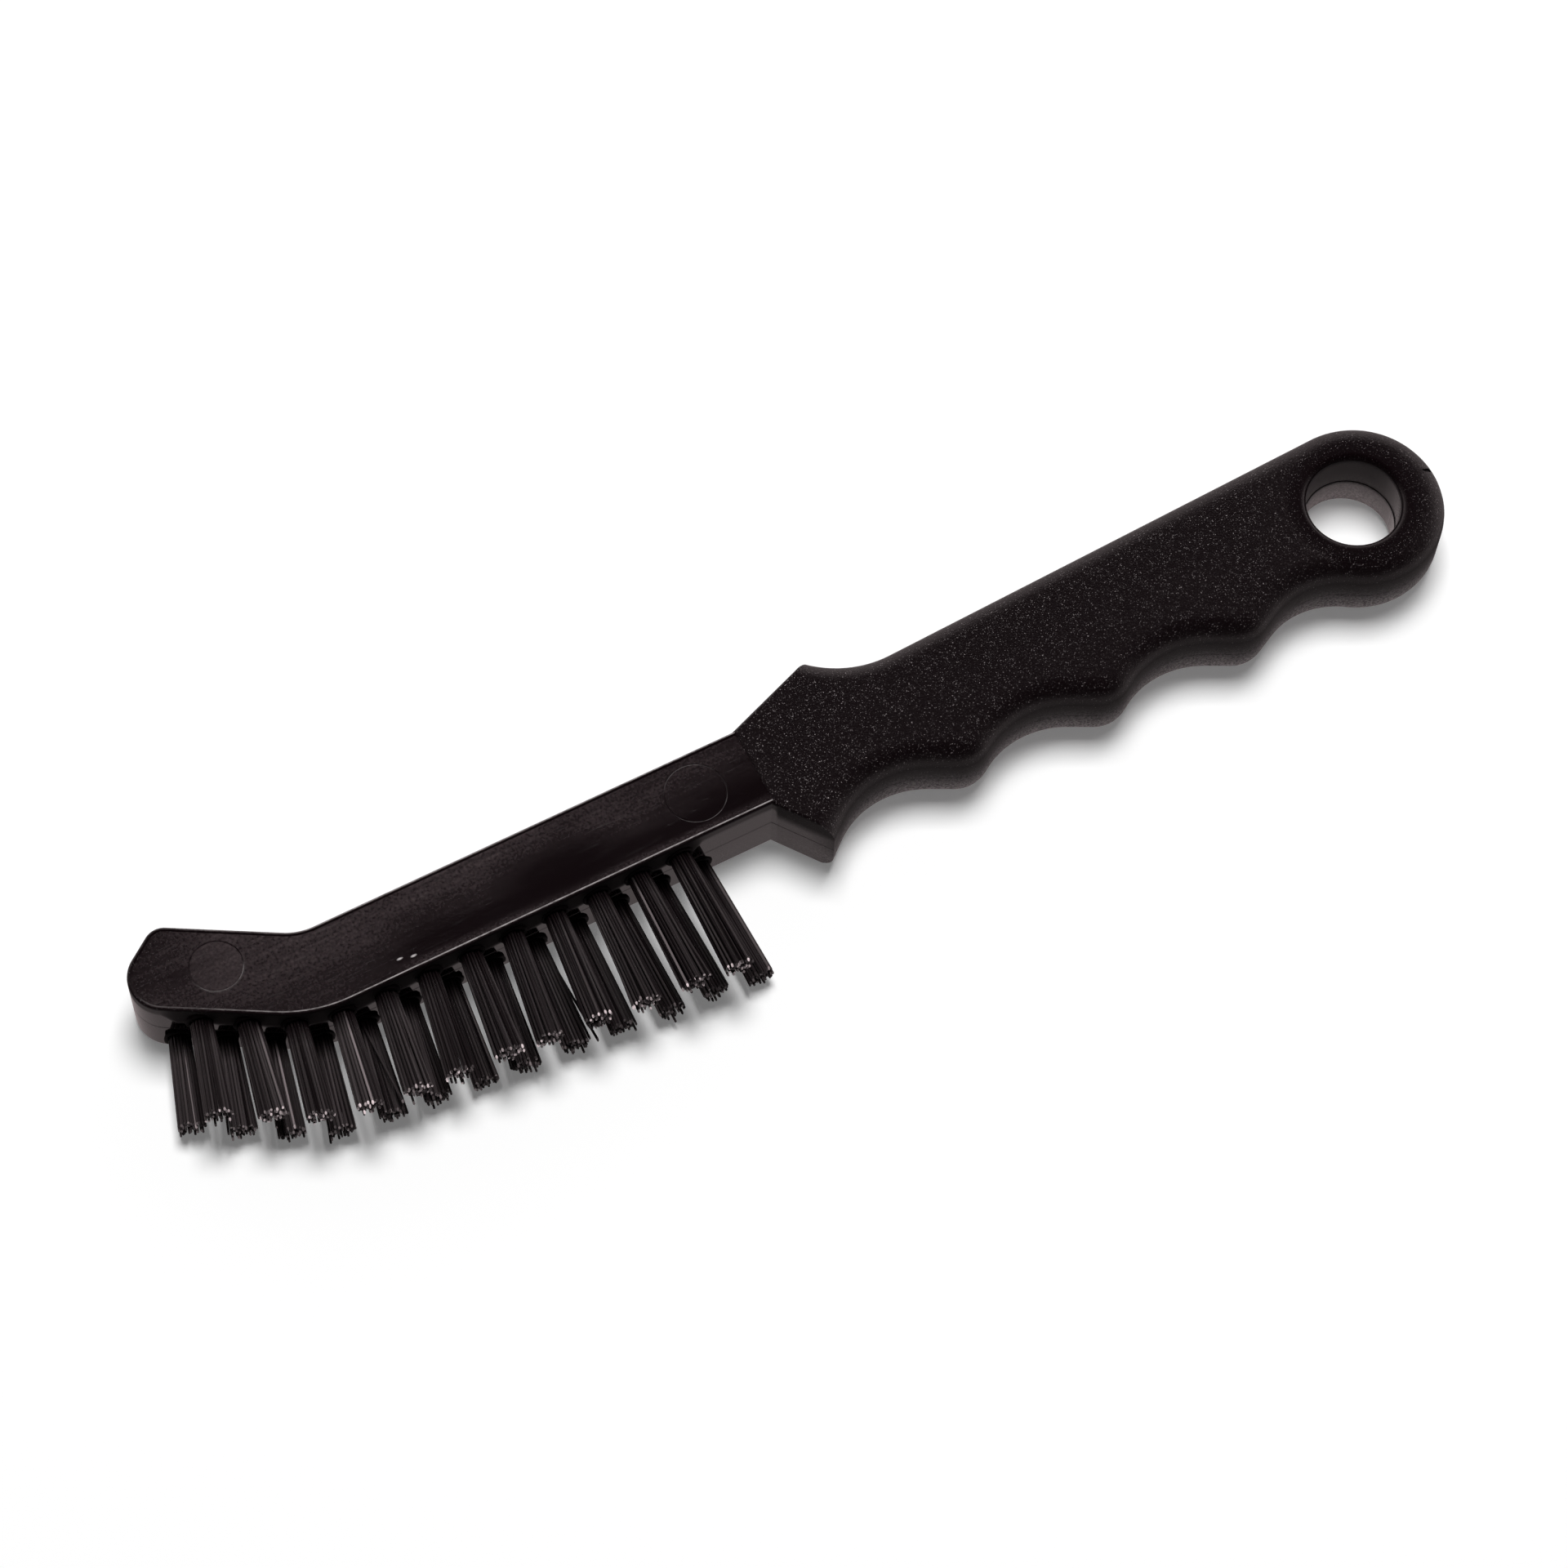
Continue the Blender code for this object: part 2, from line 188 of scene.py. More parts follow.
def bend(centre, radius, turn):
    """One bend: turn is +1 where the outline runs round it to the left and -1 to the right."""
    return Vector(centre), radius * turn


def corner(point):
    """A sharp corner is a bend without a radius."""
    return point, 0.0


def rounded_corner(before, point, after, radius):
    into = (point - before).normalized()
    out = (after - point).normalized()
    half = (pi - into.angle(out)) / 2
    side = 1 if into.cross(out) > 0 else -1
    return bend(point + (out - into).normalized() * (radius / sin(half)), radius, side)


def heading_between(first, second):
    """The direction of the straight line that leaves one bend and runs into the next."""
    span = second[0] - first[0]
    lean = (first[1] - second[1]) / span.length
    return atan2(span.y, span.x) + asin(max(-1.0, min(1.0, lean)))


def on_bend(one, heading):
    """The point of a bend where the outline runs in this direction."""
    return one[0] + Vector((sin(heading), -cos(heading))) * one[1]


def one_point(name, place):
    """A new object with a single point to draw from, in edit mode."""
    obj = add(bpy.ops.mesh.primitive_plane_add, name, size=MM, location=place)
    edit("VERT")
    bpy.ops.mesh.merge(type="CENTER")
    return obj


def draw_outline(name, bends):
    """Draws a closed outline on the floor plane and leaves it as loose edges."""
    following = bends[1:] + bends[:1]
    leaving = [heading_between(one, after) for one, after in zip(bends, following)]
    arriving = leaving[-1:] + leaving[:-1]
    pen = on_bend(bends[0], arriving[0])
    obj = one_point(name, (*pen, 0))
    for one, after, into, out in zip(bends, following, arriving, leaving):
        sweep = (out - into) % FULL_TURN
        if one[1] < 0 and sweep > 0:
            sweep -= FULL_TURN
        if one[1] and 0 < abs(sweep) <= NO_TURN:
            steps = max(1, ceil(abs(sweep) / ARC_STEP))
            bpy.ops.mesh.spin(steps=steps, angle=-sweep, center=(*one[0], 0), axis=(0, 0, 1))
        extrude((*(on_bend(after, out) - on_bend(one, out)), 0))
    leave_edit()
    settle(obj)
    return tidy(obj, gap=PEN_GAP)


def thicken(obj, low, high, radius, steps):
    """Turns a drawn outline into a plate whose two rims are rounded in so many steps."""
    pick(obj)
    bpy.ops.object.convert(target="CURVE")
    obj = bpy.context.object
    curve = obj.data
    curve.dimensions = "2D"
    curve.fill_mode = "BOTH"
    curve.extrude = (high - low) / 2 - radius
    curve.bevel_depth = radius
    curve.bevel_resolution = steps - 1
    curve.offset = -radius
    bpy.ops.object.convert(target="MESH")
    obj = bpy.context.object
    obj.location.z = (low + high) / 2
    settle(obj)
    for vert in obj.data.vertices:
        for level in (low, high):
            if abs(vert.co.z - level) < LEVEL_GAP:
                vert.co.z = level
    return tidy(obj)


print("one bend of 90 degrees takes", ceil(radians(90) / ARC_STEP), "steps")

# %% [markdown]
# ## The sizes of the handle
#
# These are the sizes of the real handle, in metres. The underside is z = 0, X runs from the head to the
# hanging hole, and the bristles point towards -Y. The origin is where the head meets the grip.

# %% Sizes
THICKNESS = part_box("handle")[1].z
MIDDLE = THICKNESS / 2
RIM_STEPS = 5
GRIP_RIM_STEPS = 8

HEAD_STRAIGHT = 0.0737
HEAD_WIDTH = 0.0141
HALF_HEAD = HEAD_WIDTH / 2
HEAD_RIM = 0.0004
BEND_ANGLE = radians(30)
BEND_INNER = 0.0097
BEND_OUTER = BEND_INNER + HEAD_WIDTH
TIP_LENGTH = 0.0203
TIP_SLANT = radians(24.4)
TIP_UPPER_CORNER = 0.0032
TIP_LOWER_CORNER = 0.0059
HEAD_OVERLAP = 0.010

GRIP_RIM = 0.0038
END_CENTRE = Vector((0.1120, -0.0021))
END_RADIUS = 0.0145
GRIP_TAPER = radians(2.4)
NECK_DISTANCE = 0.0298
NECK_RADIUS = 0.0174
NECK_TURN = radians(62)
UPPER_SHOULDER = radians(20.3)
LOWER_SHOULDER = radians(53.8)
SHOULDER_REACH = 0.01605
OVERHANG = 0.010

GROOVES = 4
GROOVE_PITCH = 0.02565
GROOVE_RADIUS = 0.0154
RIDGE_RADIUS = 0.006
FIRST_GROOVE = 0.0193
GROOVE_REACH = 0.0101
GROOVE_TO_RIDGE = 0.0135
RIDGE_HEIGHT = 0.004
GROOVE_SLOPE = 0.022

BEND_CENTRE = Vector((-HEAD_STRAIGHT, BEND_INNER + HALF_HEAD))
TIP_HEADING = Vector((-cos(BEND_ANGLE), sin(BEND_ANGLE)))
TIP_UP = Vector((sin(BEND_ANGLE), cos(BEND_ANGLE)))
print("the brush is", round(THICKNESS / MM, 2), "mm thick")

# %% [markdown]
# ## The grip
#
# On the real brush the grip is a flat bar with a straight back, four finger grooves in front and one
# round end, and all its edges are rounded so that it sits well in the hand. It could be a cube with
# loops pushed in and out, but the grooves would come out lumpy. The outline is drawn with true arcs
# instead, and the plate's own rim gives the round edge.

# %% Draw the grip


def groove(number):
    """The floor of one finger groove."""
    run = number * GROOVE_PITCH
    return Vector((FIRST_GROOVE + run, -GROOVE_REACH - GROOVE_SLOPE * run))


def touching_radius(floor):
    """The radius of a groove with this floor that just touches the round end."""
    span = END_CENTRE - floor
    return (span.length_squared - END_RADIUS ** 2) / (2 * (END_RADIUS - span.y))


def grip_bends():
    """The grip's outline, longer at the head's side than the shoulders' cut leaves it."""
    shoulder = Vector(((SHOULDER_REACH - HALF_HEAD) / tan(LOWER_SHOULDER), -SHOULDER_REACH))
    grooves = []
    for k in range(GROOVES):
        radius = min(GROOVE_RADIUS, touching_radius(groove(k)))
        grooves.append(bend(groove(k) - Vector((0, radius)), radius, -1))
    flank = heading_between(corner(shoulder), grooves[0])
    below = shoulder - Vector((cos(flank), sin(flank))) * OVERHANG
    bends = [corner(Vector((-OVERHANG, below.y))), corner(below)]
    for k in range(GROOVES):
        bends.append(grooves[k])
        if k < GROOVES - 1:
            crest = groove(k) + Vector((GROOVE_TO_RIDGE, -RIDGE_HEIGHT - GROOVE_SLOPE * GROOVE_TO_RIDGE))
            bends.append(bend(crest + Vector((0, RIDGE_RADIUS)), RIDGE_RADIUS, 1))
    bends.append(bend(END_CENTRE, END_RADIUS, 1))
    back = pi + GRIP_TAPER
    leave = on_bend(bends[-1], back)
    neck = leave + Vector((cos(back), sin(back))) * ((leave.x - NECK_DISTANCE) / cos(GRIP_TAPER))
    sweep = bend(neck + Vector((sin(back), -cos(back))) * NECK_RADIUS, NECK_RADIUS, -1)
    steep = back - NECK_TURN
    above = on_bend(sweep, steep) + Vector((cos(steep), sin(steep))) * OVERHANG
    return bends + [sweep, corner(above), corner(Vector((-OVERHANG, above.y)))]


grip = thicken(draw_outline("handle_moulding", grip_bends()), 0, THICKNESS, GRIP_RIM, GRIP_RIM_STEPS)
report(grip)

# %% [markdown]
# ## The shoulders
#
# Where the grip meets the head it is cut off by two flat slanting faces. On the real tool they are the
# flat end of the grip's mould. A wedge with a small rounded rim stands for that mould, and what the
# grip and the wedge have in common stays.

# %% Cut the shoulders
SHOULDER_RIM = 0.0006
OVERLAP = 0.00002
JOIN_LINE = 0.0003
JOIN_HALF = 0.0060
REACH = 0.142


def along(angle, side, distance):
    """A point on a shoulder's face, this far from the head's wall."""
    return Vector((distance * cos(angle), side * (HALF_HEAD + distance * sin(angle))))


wedge_points = [
    Vector((JOIN_LINE, JOIN_HALF)),
    Vector((JOIN_LINE, -JOIN_HALF)),
    along(LOWER_SHOULDER, -1, -JOIN_LINE),
    along(LOWER_SHOULDER, -1, REACH),
    Vector((2 * REACH, -HALF_HEAD - REACH)),
    along(UPPER_SHOULDER, 1, 2 * REACH),
    along(UPPER_SHOULDER, 1, -JOIN_LINE),
]
wedge = draw_outline("shoulder_wedge", [corner(point) for point in wedge_points])
wedge = thicken(wedge, -OVERLAP, THICKNESS + OVERLAP, SHOULDER_RIM, RIM_STEPS)
report(wedge)
cut(grip, wedge, "INTERSECT")
report(grip)

# %% [markdown]
# ## The head
#
# The head is a straight bar that kinks up at the tip. Its top is a separate smooth mould insert, which
# left a fine raised lip along the rim and a field that lies a hair lower. The bar is drawn like the
# grip, and then its top and bottom faces are inset twice: once for the lip, and once down into the field.

# %% Draw the head and its lip
LIP_WIDTH = 0.00006
LIP_SLOPE = 0.00026
LIP_DEPTH = 0.00012
ON_LEVEL = 0.00001
NEARLY_FLAT = 0.99


def head_bends():
    centre = BEND_CENTRE + Vector((-sin(BEND_ANGLE), -cos(BEND_ANGLE))) * (BEND_INNER + HALF_HEAD)
    upper = centre + TIP_HEADING * TIP_LENGTH + TIP_UP * HALF_HEAD
    lower = centre + TIP_HEADING * (TIP_LENGTH + HEAD_WIDTH * tan(TIP_SLANT)) - TIP_UP * HALF_HEAD
    return [
        bend(BEND_CENTRE, BEND_OUTER, 1),
        corner(Vector((HEAD_OVERLAP, -HALF_HEAD))),
        corner(Vector((HEAD_OVERLAP, HALF_HEAD))),
        bend(BEND_CENTRE, BEND_INNER, -1),
        rounded_corner(centre + TIP_UP * HALF_HEAD, upper, lower, TIP_UPPER_CORNER),
        rounded_corner(upper, lower, centre - TIP_UP * HALF_HEAD, TIP_LOWER_CORNER),
    ]


def select_faces(obj, wanted):
    """Selects the faces that the test picks, and stays in edit mode."""
    pick(obj)
    edit("FACE", "DESELECT")
    leave_edit()
    for face in obj.data.polygons:
        face.select = wanted(face)
    bpy.ops.object.mode_set(mode="EDIT")


def flat_at(level):
    return lambda face: abs(face.center.z - level) < ON_LEVEL and abs(face.normal.z) > NEARLY_FLAT


head = thicken(draw_outline("head_bar", head_bends()), 0, THICKNESS, HEAD_RIM, RIM_STEPS)
for level in (0, THICKNESS):
    select_faces(head, flat_at(level))
    bpy.ops.mesh.dissolve_faces()
    bpy.ops.mesh.inset(thickness=LIP_WIDTH, depth=0)
    bpy.ops.mesh.inset(thickness=LIP_SLOPE, depth=-LIP_DEPTH)
    leave_edit()
report(head)
cut(grip, head, "UNION")
report(grip)

# %% [markdown]
# ## The hanging hole
#
# A turned hole goes through the round end. Two core pins, one from each mould half, met in the middle
# of it, so its bore narrows towards the middle and has a small step there. The pin is drawn as half a
# profile and spun into a closed tool, which then cuts the grip.

# %% Turn the pin and cut the hole
HOLE_CENTRE = END_CENTRE - Vector((0.0010, 0))
HOLE_RADIUS = 0.0078
HOLE_FILLET = 0.0014
HOLE_DRAFT = 0.00012
HOLE_STEP = 0.00014
STEP_HALF = 0.00002
HOLE_SEGMENTS = 96
FILLET_STEPS = 6
SPARE = 0.002


def pin_profile():
    """Radius and height of the pin, from above the brush to below it."""
    wide = HOLE_RADIUS + HOLE_FILLET
    upper = [(wide, THICKNESS + SPARE)]
    for step in range(FILLET_STEPS + 1):
        angle = pi / 2 * step / FILLET_STEPS
        upper.append((wide - HOLE_FILLET * sin(angle), THICKNESS - HOLE_FILLET * (1 - cos(angle))))
    lower = [(radius - HOLE_STEP, THICKNESS - height) for radius, height in reversed(upper)]
    waist = HOLE_RADIUS - HOLE_DRAFT
    return upper + [(waist, MIDDLE + STEP_HALF), (waist - HOLE_STEP, MIDDLE - STEP_HALF)] + lower


def turned(name, profile, place, segments):
    """Spins a profile of radius and height into a closed solid round an upright axis."""
    obj = one_point(name, (profile[0][0], 0, profile[0][1]))
    for before, after in zip(profile, profile[1:]):
        extrude((after[0] - before[0], 0, after[1] - before[1]))
    bpy.ops.mesh.select_all(action="SELECT")
    bpy.ops.mesh.spin(steps=segments, angle=FULL_TURN, center=(0, 0, 0), axis=(0, 0, 1))
    bpy.ops.mesh.select_all(action="SELECT")
    bpy.ops.mesh.remove_doubles(threshold=SAME_PLACE)
    edit("EDGE", "DESELECT")
    bpy.ops.mesh.select_non_manifold()
    bpy.ops.mesh.edge_face_add()
    leave_edit()
    settle(obj)
    obj.location = place
    settle(obj)
    return tidy(obj)


pin = turned("hole_pin", pin_profile(), (*HOLE_CENTRE, 0), HOLE_SEGMENTS)
report(pin)
cut(grip, pin, "DIFFERENCE")
report(grip)

# %% [markdown]
# ## Where each tuft stands
#
# The frame already holds every tuft and every anchor, so their places are read and not typed again. An
# anchor lies on its tuft's middle line, and the trimmed ends lie round that line further out, so the
# two together give the direction in which the bristles point.

# %% Read the tufts from the frame
ANCHOR_DEPTH = 0.0077
TIP_ZONE = 0.003
POINT_DIGITS = 7


def node_points(name):
    return np.unique(points_of(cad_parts[name].data).round(POINT_DIGITS), axis=0)


def tuft_place(name):
    """The frame of a tuft at the mouth of its hole, with +Z out along the bristles, and its length."""
    seat = Vector(node_points(name.replace("tuft", "anchor")).mean(axis=0))
    points = node_points(name)
    tips = points[points[:, 1] < points[:, 1].min() + TIP_ZONE]
    reach = Vector(tips.mean(axis=0)) - seat
    reach.z = 0
    out = reach.normalized()
    up = Vector((0, 0, 1))
    place = Matrix((up.cross(out), up, out)).transposed().to_4x4()
    place.translation = seat + out * ANCHOR_DEPTH
    return place, reach.length - ANCHOR_DEPTH


tufts = {name: tuft_place(name) for name in sorted(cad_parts) if name.startswith("tuft_")}
for name, (place, length) in tufts.items():
    print(name, "mouth", [round(v / MM, 2) for v in place.translation], "length", round(length / MM, 2))

# %% [markdown]
# ## Drilling the head
#
# The head is drilled once for every tuft. Each drill is the same cylinder with a rounded nose, copied
# to its tuft's place, and all of them are joined so that one Boolean does the whole job. The holes fit
# their tufts snugly, as the bristles on the real brush fill them.

# %% Drill the holes
BORE_RADIUS = 0.00187
BORE_DEPTH = 0.0103
BORE_SIDES = 24
NOSE = 0.4 * BORE_RADIUS
NOSE_STEPS = 3


def drill():
    tool = add(bpy.ops.mesh.primitive_cylinder_add, "drill", vertices=BORE_SIDES, radius=BORE_RADIUS,
               depth=BORE_DEPTH + SPARE, location=(0, 0, (SPARE - BORE_DEPTH) / 2))
    select_faces(tool, lambda face: face.normal.z < -NEARLY_FLAT)
    bpy.ops.mesh.bevel(offset=NOSE, segments=NOSE_STEPS)
    leave_edit()
    return settle(tool)


def at_every_tuft(model, name):
    """Copies of a model at the mouths of all tufts, joined into one object. The model goes."""
    made = []
    for place, _ in tufts.values():
        twin = model.copy()
        twin.data = model.data.copy()
        bpy.context.collection.objects.link(twin)
        twin.data.transform(place)
        made.append(twin)
    pick(*made)
    bpy.ops.object.join()
    joined = added(name)
    discard(model)
    return joined


drills = at_every_tuft(drill(), "drills")
report(drills)
cut(grip, drills, "DIFFERENCE")
report(grip)

# %% [markdown]
# ## Moulding marks
#
# Ejector pins pushed the part out of its mould and left two round marks on the head. The one near the
# tip is a disc pressed in by less than a tenth of a millimetre, and the one near the grip is only a
# fine ring. A very flat cone and a thin torus cut them. A third tool cuts the small nick that the gate
# left on the rounded end.

# %% Cut the marks
FIELD = THICKNESS - LIP_DEPTH
MARK_SEGMENTS = 96
TIP_MARK = Vector((-0.09009, 0.00783))
TIP_MARK_RADIUS = 0.0042
TIP_MARK_DEPTH = 0.00006
TIP_MARK_FLARE = 0.00045
TIP_TOOL_HEIGHT = 0.0002
RING_MARK = Vector((-0.00997, 0.00019))
RING_MARK_RADIUS = 0.00504
RING_THICK = 0.00012
RING_THIN_SIDES = 12
RING_LIFT = 0.00004
NICK = (0.12509, -0.00233, 0.01315)
NICK_TILT = radians(39)
NICK_SIZE = (0.0022, 0.0007, 0.0009)

tip_tool = add(
    bpy.ops.mesh.primitive_cone_add, "tip_mark", vertices=MARK_SEGMENTS,
    radius1=TIP_MARK_RADIUS, radius2=TIP_MARK_RADIUS + TIP_MARK_FLARE, depth=TIP_TOOL_HEIGHT,
    location=(*TIP_MARK, FIELD - TIP_MARK_DEPTH + TIP_TOOL_HEIGHT / 2),
)
ring_tool = add(
    bpy.ops.mesh.primitive_torus_add, "ring_mark", major_segments=MARK_SEGMENTS,
    minor_segments=RING_THIN_SIDES, major_radius=RING_MARK_RADIUS, minor_radius=RING_THICK,
    location=(*RING_MARK, FIELD + RING_LIFT),
)
nick_tool = add(
    bpy.ops.mesh.primitive_cube_add, "gate_nick",
    size=1, location=NICK, rotation=(0, NICK_TILT, 0), scale=NICK_SIZE,
)
for tool in (tip_tool, ring_tool, nick_tool):
    cut(grip, settle(tool), "DIFFERENCE")
report(grip)

# %% [markdown]
# ## The parting line
#
# Two mould halves met halfway up the sides, and the joint shows as a fine line round the whole
# handle. The sides are bisected just above, at and below the middle, and the middle loop is pulled in.

# %% Score the parting line
PARTING_HALF = 0.0001
PARTING_DEPTH = 0.00007
UPRIGHT = 0.1
HANDLE_CREASE = radians(21)

for height in (MIDDLE - PARTING_HALF, MIDDLE, MIDDLE + PARTING_HALF):
    pick(grip)
    edit("VERT")
    bpy.ops.mesh.bisect(plane_co=(0, 0, height), plane_no=(0, 0, 1), threshold=SAME_PLACE)
    leave_edit()
tidy(grip)
bpy.ops.object.mode_set(mode="EDIT")
bpy.ops.mesh.delete_loose()
leave_edit()
around_hole = HOLE_RADIUS + HOLE_FILLET
middle_loop = [
    vert for vert in grip.data.vertices
    if abs(vert.co.z - MIDDLE) < SAME_PLACE and (vert.co.xy - HOLE_CENTRE).length > around_hole
]
outwards = [Vector((*vert.normal.xy, 0)) for vert in middle_loop]
for vert, out in zip(middle_loop, outwards):
    if out.length > UPRIGHT:
        vert.co -= out.normalized() * PARTING_DEPTH
print("points on the parting line:", len(middle_loop))
smooth(grip, HANDLE_CREASE)
report(grip)
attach(grip, "root")
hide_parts("handle")

# %% [markdown]
# ## One filament
#
# A tuft is a bundle of nylon filaments, each folded in half like a hairpin round a flat wire anchor
# at the bottom of the hole, so that both ends stand out. One straight filament is modelled once: a
# circle extruded ring by ring. It is copied with an array, and each copy is then laid along its own
# hairpin. All the filaments of a tuft share one mesh. The mesh carries a number for each strand, how
# far out of the hole each point is, and which faces are the cut ends.

# %% Model one filament and array it
FILAMENT_RADIUS = 0.00021
SIDES = 6
RINGS = 10
HAIRPINS = 24

filament = add(bpy.ops.mesh.primitive_circle_add, "filament",
               vertices=SIDES, radius=FILAMENT_RADIUS, fill_type="NGON", location=(0, 0, 0))
edit("FACE")
for ring in range(RINGS - 1):
    extrude((0, 0, MM))
leave_edit()
tidy(filament)
report(filament)
apply_modifier(filament, "ARRAY", count=HAIRPINS, use_relative_offset=False, use_constant_offset=False)
bundle = filament.data
straight = points_of(bundle).reshape(HAIRPINS, -1, 3)
ring_of = np.rint(straight[0, :, 2] / MM).astype(int)
bundle.attributes.new("strand", "FLOAT", "POINT")
bundle.attributes.new("out", "FLOAT", "POINT")
cut_ends = bundle.attributes.new("cut_end", "FLOAT", "FACE")
cut_ends.data.foreach_set("value", [float(len(face.vertices) == SIDES) for face in bundle.polygons])
print("a bundle has", len(bundle.vertices), "points and", len(bundle.polygons), "faces")

# %% [markdown]
# ## Laying the filaments of a tuft
#
# The hairpins sit in a close pattern inside the hole and fan out slightly beyond it. Real tufts are
# never perfect: the ends are trimmed a little unevenly, single filaments stray, and one or two stand
# out further than the rest. A seeded random source gives the same tuft on each run.

# %% Lay the filaments
HOLE_ROOM = 0.00163
ROW_PITCH = 0.00042
FILAMENT_PITCH = 0.00046
FOLD_TOP = 0.0087
FOLD_DEPTH = 0.0012
FOLD_WIDTH = 0.45
FOLD_LEAST = 0.35
ABOVE_ANCHOR = 0.0066
ANCHOR_CLEAR = 0.00047
SPLAY = 1.27
STRAY = 0.00014
STRAY_MORE = 6.5
STRAY_SHARE = 0.055
SWAY = 0.00035
UNEVEN = 0.0004
LONG_SHARE = 0.04
LONGER = (0.4, 1.1)
SLANT = (0.3, 1.6)


def hairpin_spots():
    """Where the hairpins cross the mouth of the hole: on one side of the anchor, row by row."""
    spots = []
    y = ROW_PITCH / 2
    while y < HOLE_ROOM:
        half = (HOLE_ROOM ** 2 - y ** 2) ** 0.5
        count = int(2 * half / FILAMENT_PITCH) + 1
        for k in range(count):
            spots.append(((k - (count - 1) / 2) * FILAMENT_PITCH, y))
        y += ROW_PITCH
    spots.sort(key=lambda spot: spot[0] ** 2 + spot[1] ** 2)
    return spots[:HAIRPINS]


def leg(x, y, side, length, sway, rng):
    """The path of one leg of a hairpin, from its cut end to the fold."""
    clear = ANCHOR_CLEAR + y * (HOLE_ROOM - ANCHOR_CLEAR) / HOLE_ROOM
    reach = length + rng.uniform(-1, 1) * UNEVEN
    if rng.random() < LONG_SHARE:
        reach += rng.uniform(*LONGER) * MM
    lean = Vector((rng.gauss(0, 1), rng.gauss(0, 1))) * STRAY
    if rng.random() < STRAY_SHARE:
        lean *= STRAY_MORE
    lean += sway
    fold = FOLD_DEPTH * (FOLD_LEAST + (1 - FOLD_LEAST) * clear / HOLE_ROOM)
    return [
        Vector((x * SPLAY + lean.x, side * y * SPLAY + lean.y, reach)),
        Vector((x, side * y, 0)),
        Vector((x, side * clear, -ABOVE_ANCHOR)),
        Vector((x, side * clear, -FOLD_TOP)),
        Vector((x, side * clear * FOLD_WIDTH, -FOLD_TOP - fold)),
    ]


def lay(path, flat):
    """Points of a straight filament, moved so that it follows a path. Each ring stands across it."""
    made = np.empty(flat.shape)
    for number, centre in enumerate(path):
        before = path[max(0, number - 1)]
        after = path[min(len(path) - 1, number + 1)]
        way = (after - before).normalized()
        side = Vector((1, 0, 0)) - way * way.x
        side.normalize()
        other = way.cross(side)
        mine = ring_of == number
        made[mine] = (
            np.array(centre)
            + flat[mine, 0:1] * np.array(side)
            + flat[mine, 1:2] * np.array(other)
        )
    return made


def tuft_points(length, seed):
    """The points of a tuft, and for each point a number that tells its strand from the others."""
    rng = random.Random(seed)
    every = np.empty_like(straight)
    strand = np.empty(straight.shape[:2])
    sway = Vector((rng.gauss(0, 1), rng.gauss(0, 1))) * SWAY
    for number, (x, y) in enumerate(hairpin_spots()):
        first = leg(x, y, 1, length, sway, rng)
        second = leg(x, y, -1, length, sway, rng)
        made = lay(first + second[::-1], straight[number])
        for ring, centre, half in ((0, first[0], ring_of < RINGS / 2),
                                   (RINGS - 1, second[0], ring_of > RINGS / 2 - 1)):
            end = ring_of == ring
            made[end, 2] -= rng.uniform(*SLANT) * (made[end, 1] - centre.y)
            strand[number, half] = rng.random()
        every[number] = made
    return every.reshape(-1, 3), strand.ravel()


print("hairpins in a tuft:", len(hairpin_spots()))

# %% [markdown]
# Every tuft gets a copy of the bundle's mesh, with its own seed and length. The points are laid out
# first and then moved to the tuft's mouth, so that the piece itself stays at the origin.

# %% Make every tuft
FILAMENT_CREASE = radians(65)
brushes = []
for seed, (name, (place, length)) in enumerate(tufts.items()):
    piece = bpy.data.objects.new(name.replace("tuft", "filaments"), bundle.copy())
    bpy.context.collection.objects.link(piece)
    points, strand = tuft_points(length, seed)
    piece.data.vertices.foreach_set("co", points.ravel())
    piece.data.attributes["strand"].data.foreach_set("value", strand)
    piece.data.attributes["out"].data.foreach_set("value", points[:, 2].copy())
    piece.data.transform(place)
    tidy(piece)
    pick(piece)
    bpy.ops.object.shade_smooth_by_angle(angle=FILAMENT_CREASE)
    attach(piece, "root")
    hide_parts(name)
    brushes.append(piece)
discard(filament)
report(brushes[0])
print("tufts made:", len(brushes))

# %% [markdown]
# ## Rims of pushed-up plastic
#
# Each tuft was driven into its hole with force, which pushed up a small uneven rim round the mouth. It
# is a thin torus, dented all round and half sunk into the head's wall.

# %% Make the rims
RIM_RADIUS = 0.00212
RIM_THICK = 0.00036
DENT_LENGTH = 0.0009
DENT_DEPTH = 0.0005
RIM_CREASE = radians(60)

one_rim = add(bpy.ops.mesh.primitive_torus_add, "one_rim", major_segments=24, minor_segments=8,
              major_radius=RIM_RADIUS, minor_radius=RIM_THICK, location=(0, 0, 0))
rims = at_every_tuft(settle(one_rim), "hole_rims")
dents = bpy.data.textures.new("dents", "CLOUDS")
dents.noise_scale = DENT_LENGTH
apply_modifier(rims, "DISPLACE", texture=dents, texture_coords="LOCAL", strength=DENT_DEPTH, mid_level=0.5)
smooth(rims, RIM_CREASE)
report(rims)
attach(rims, "root")
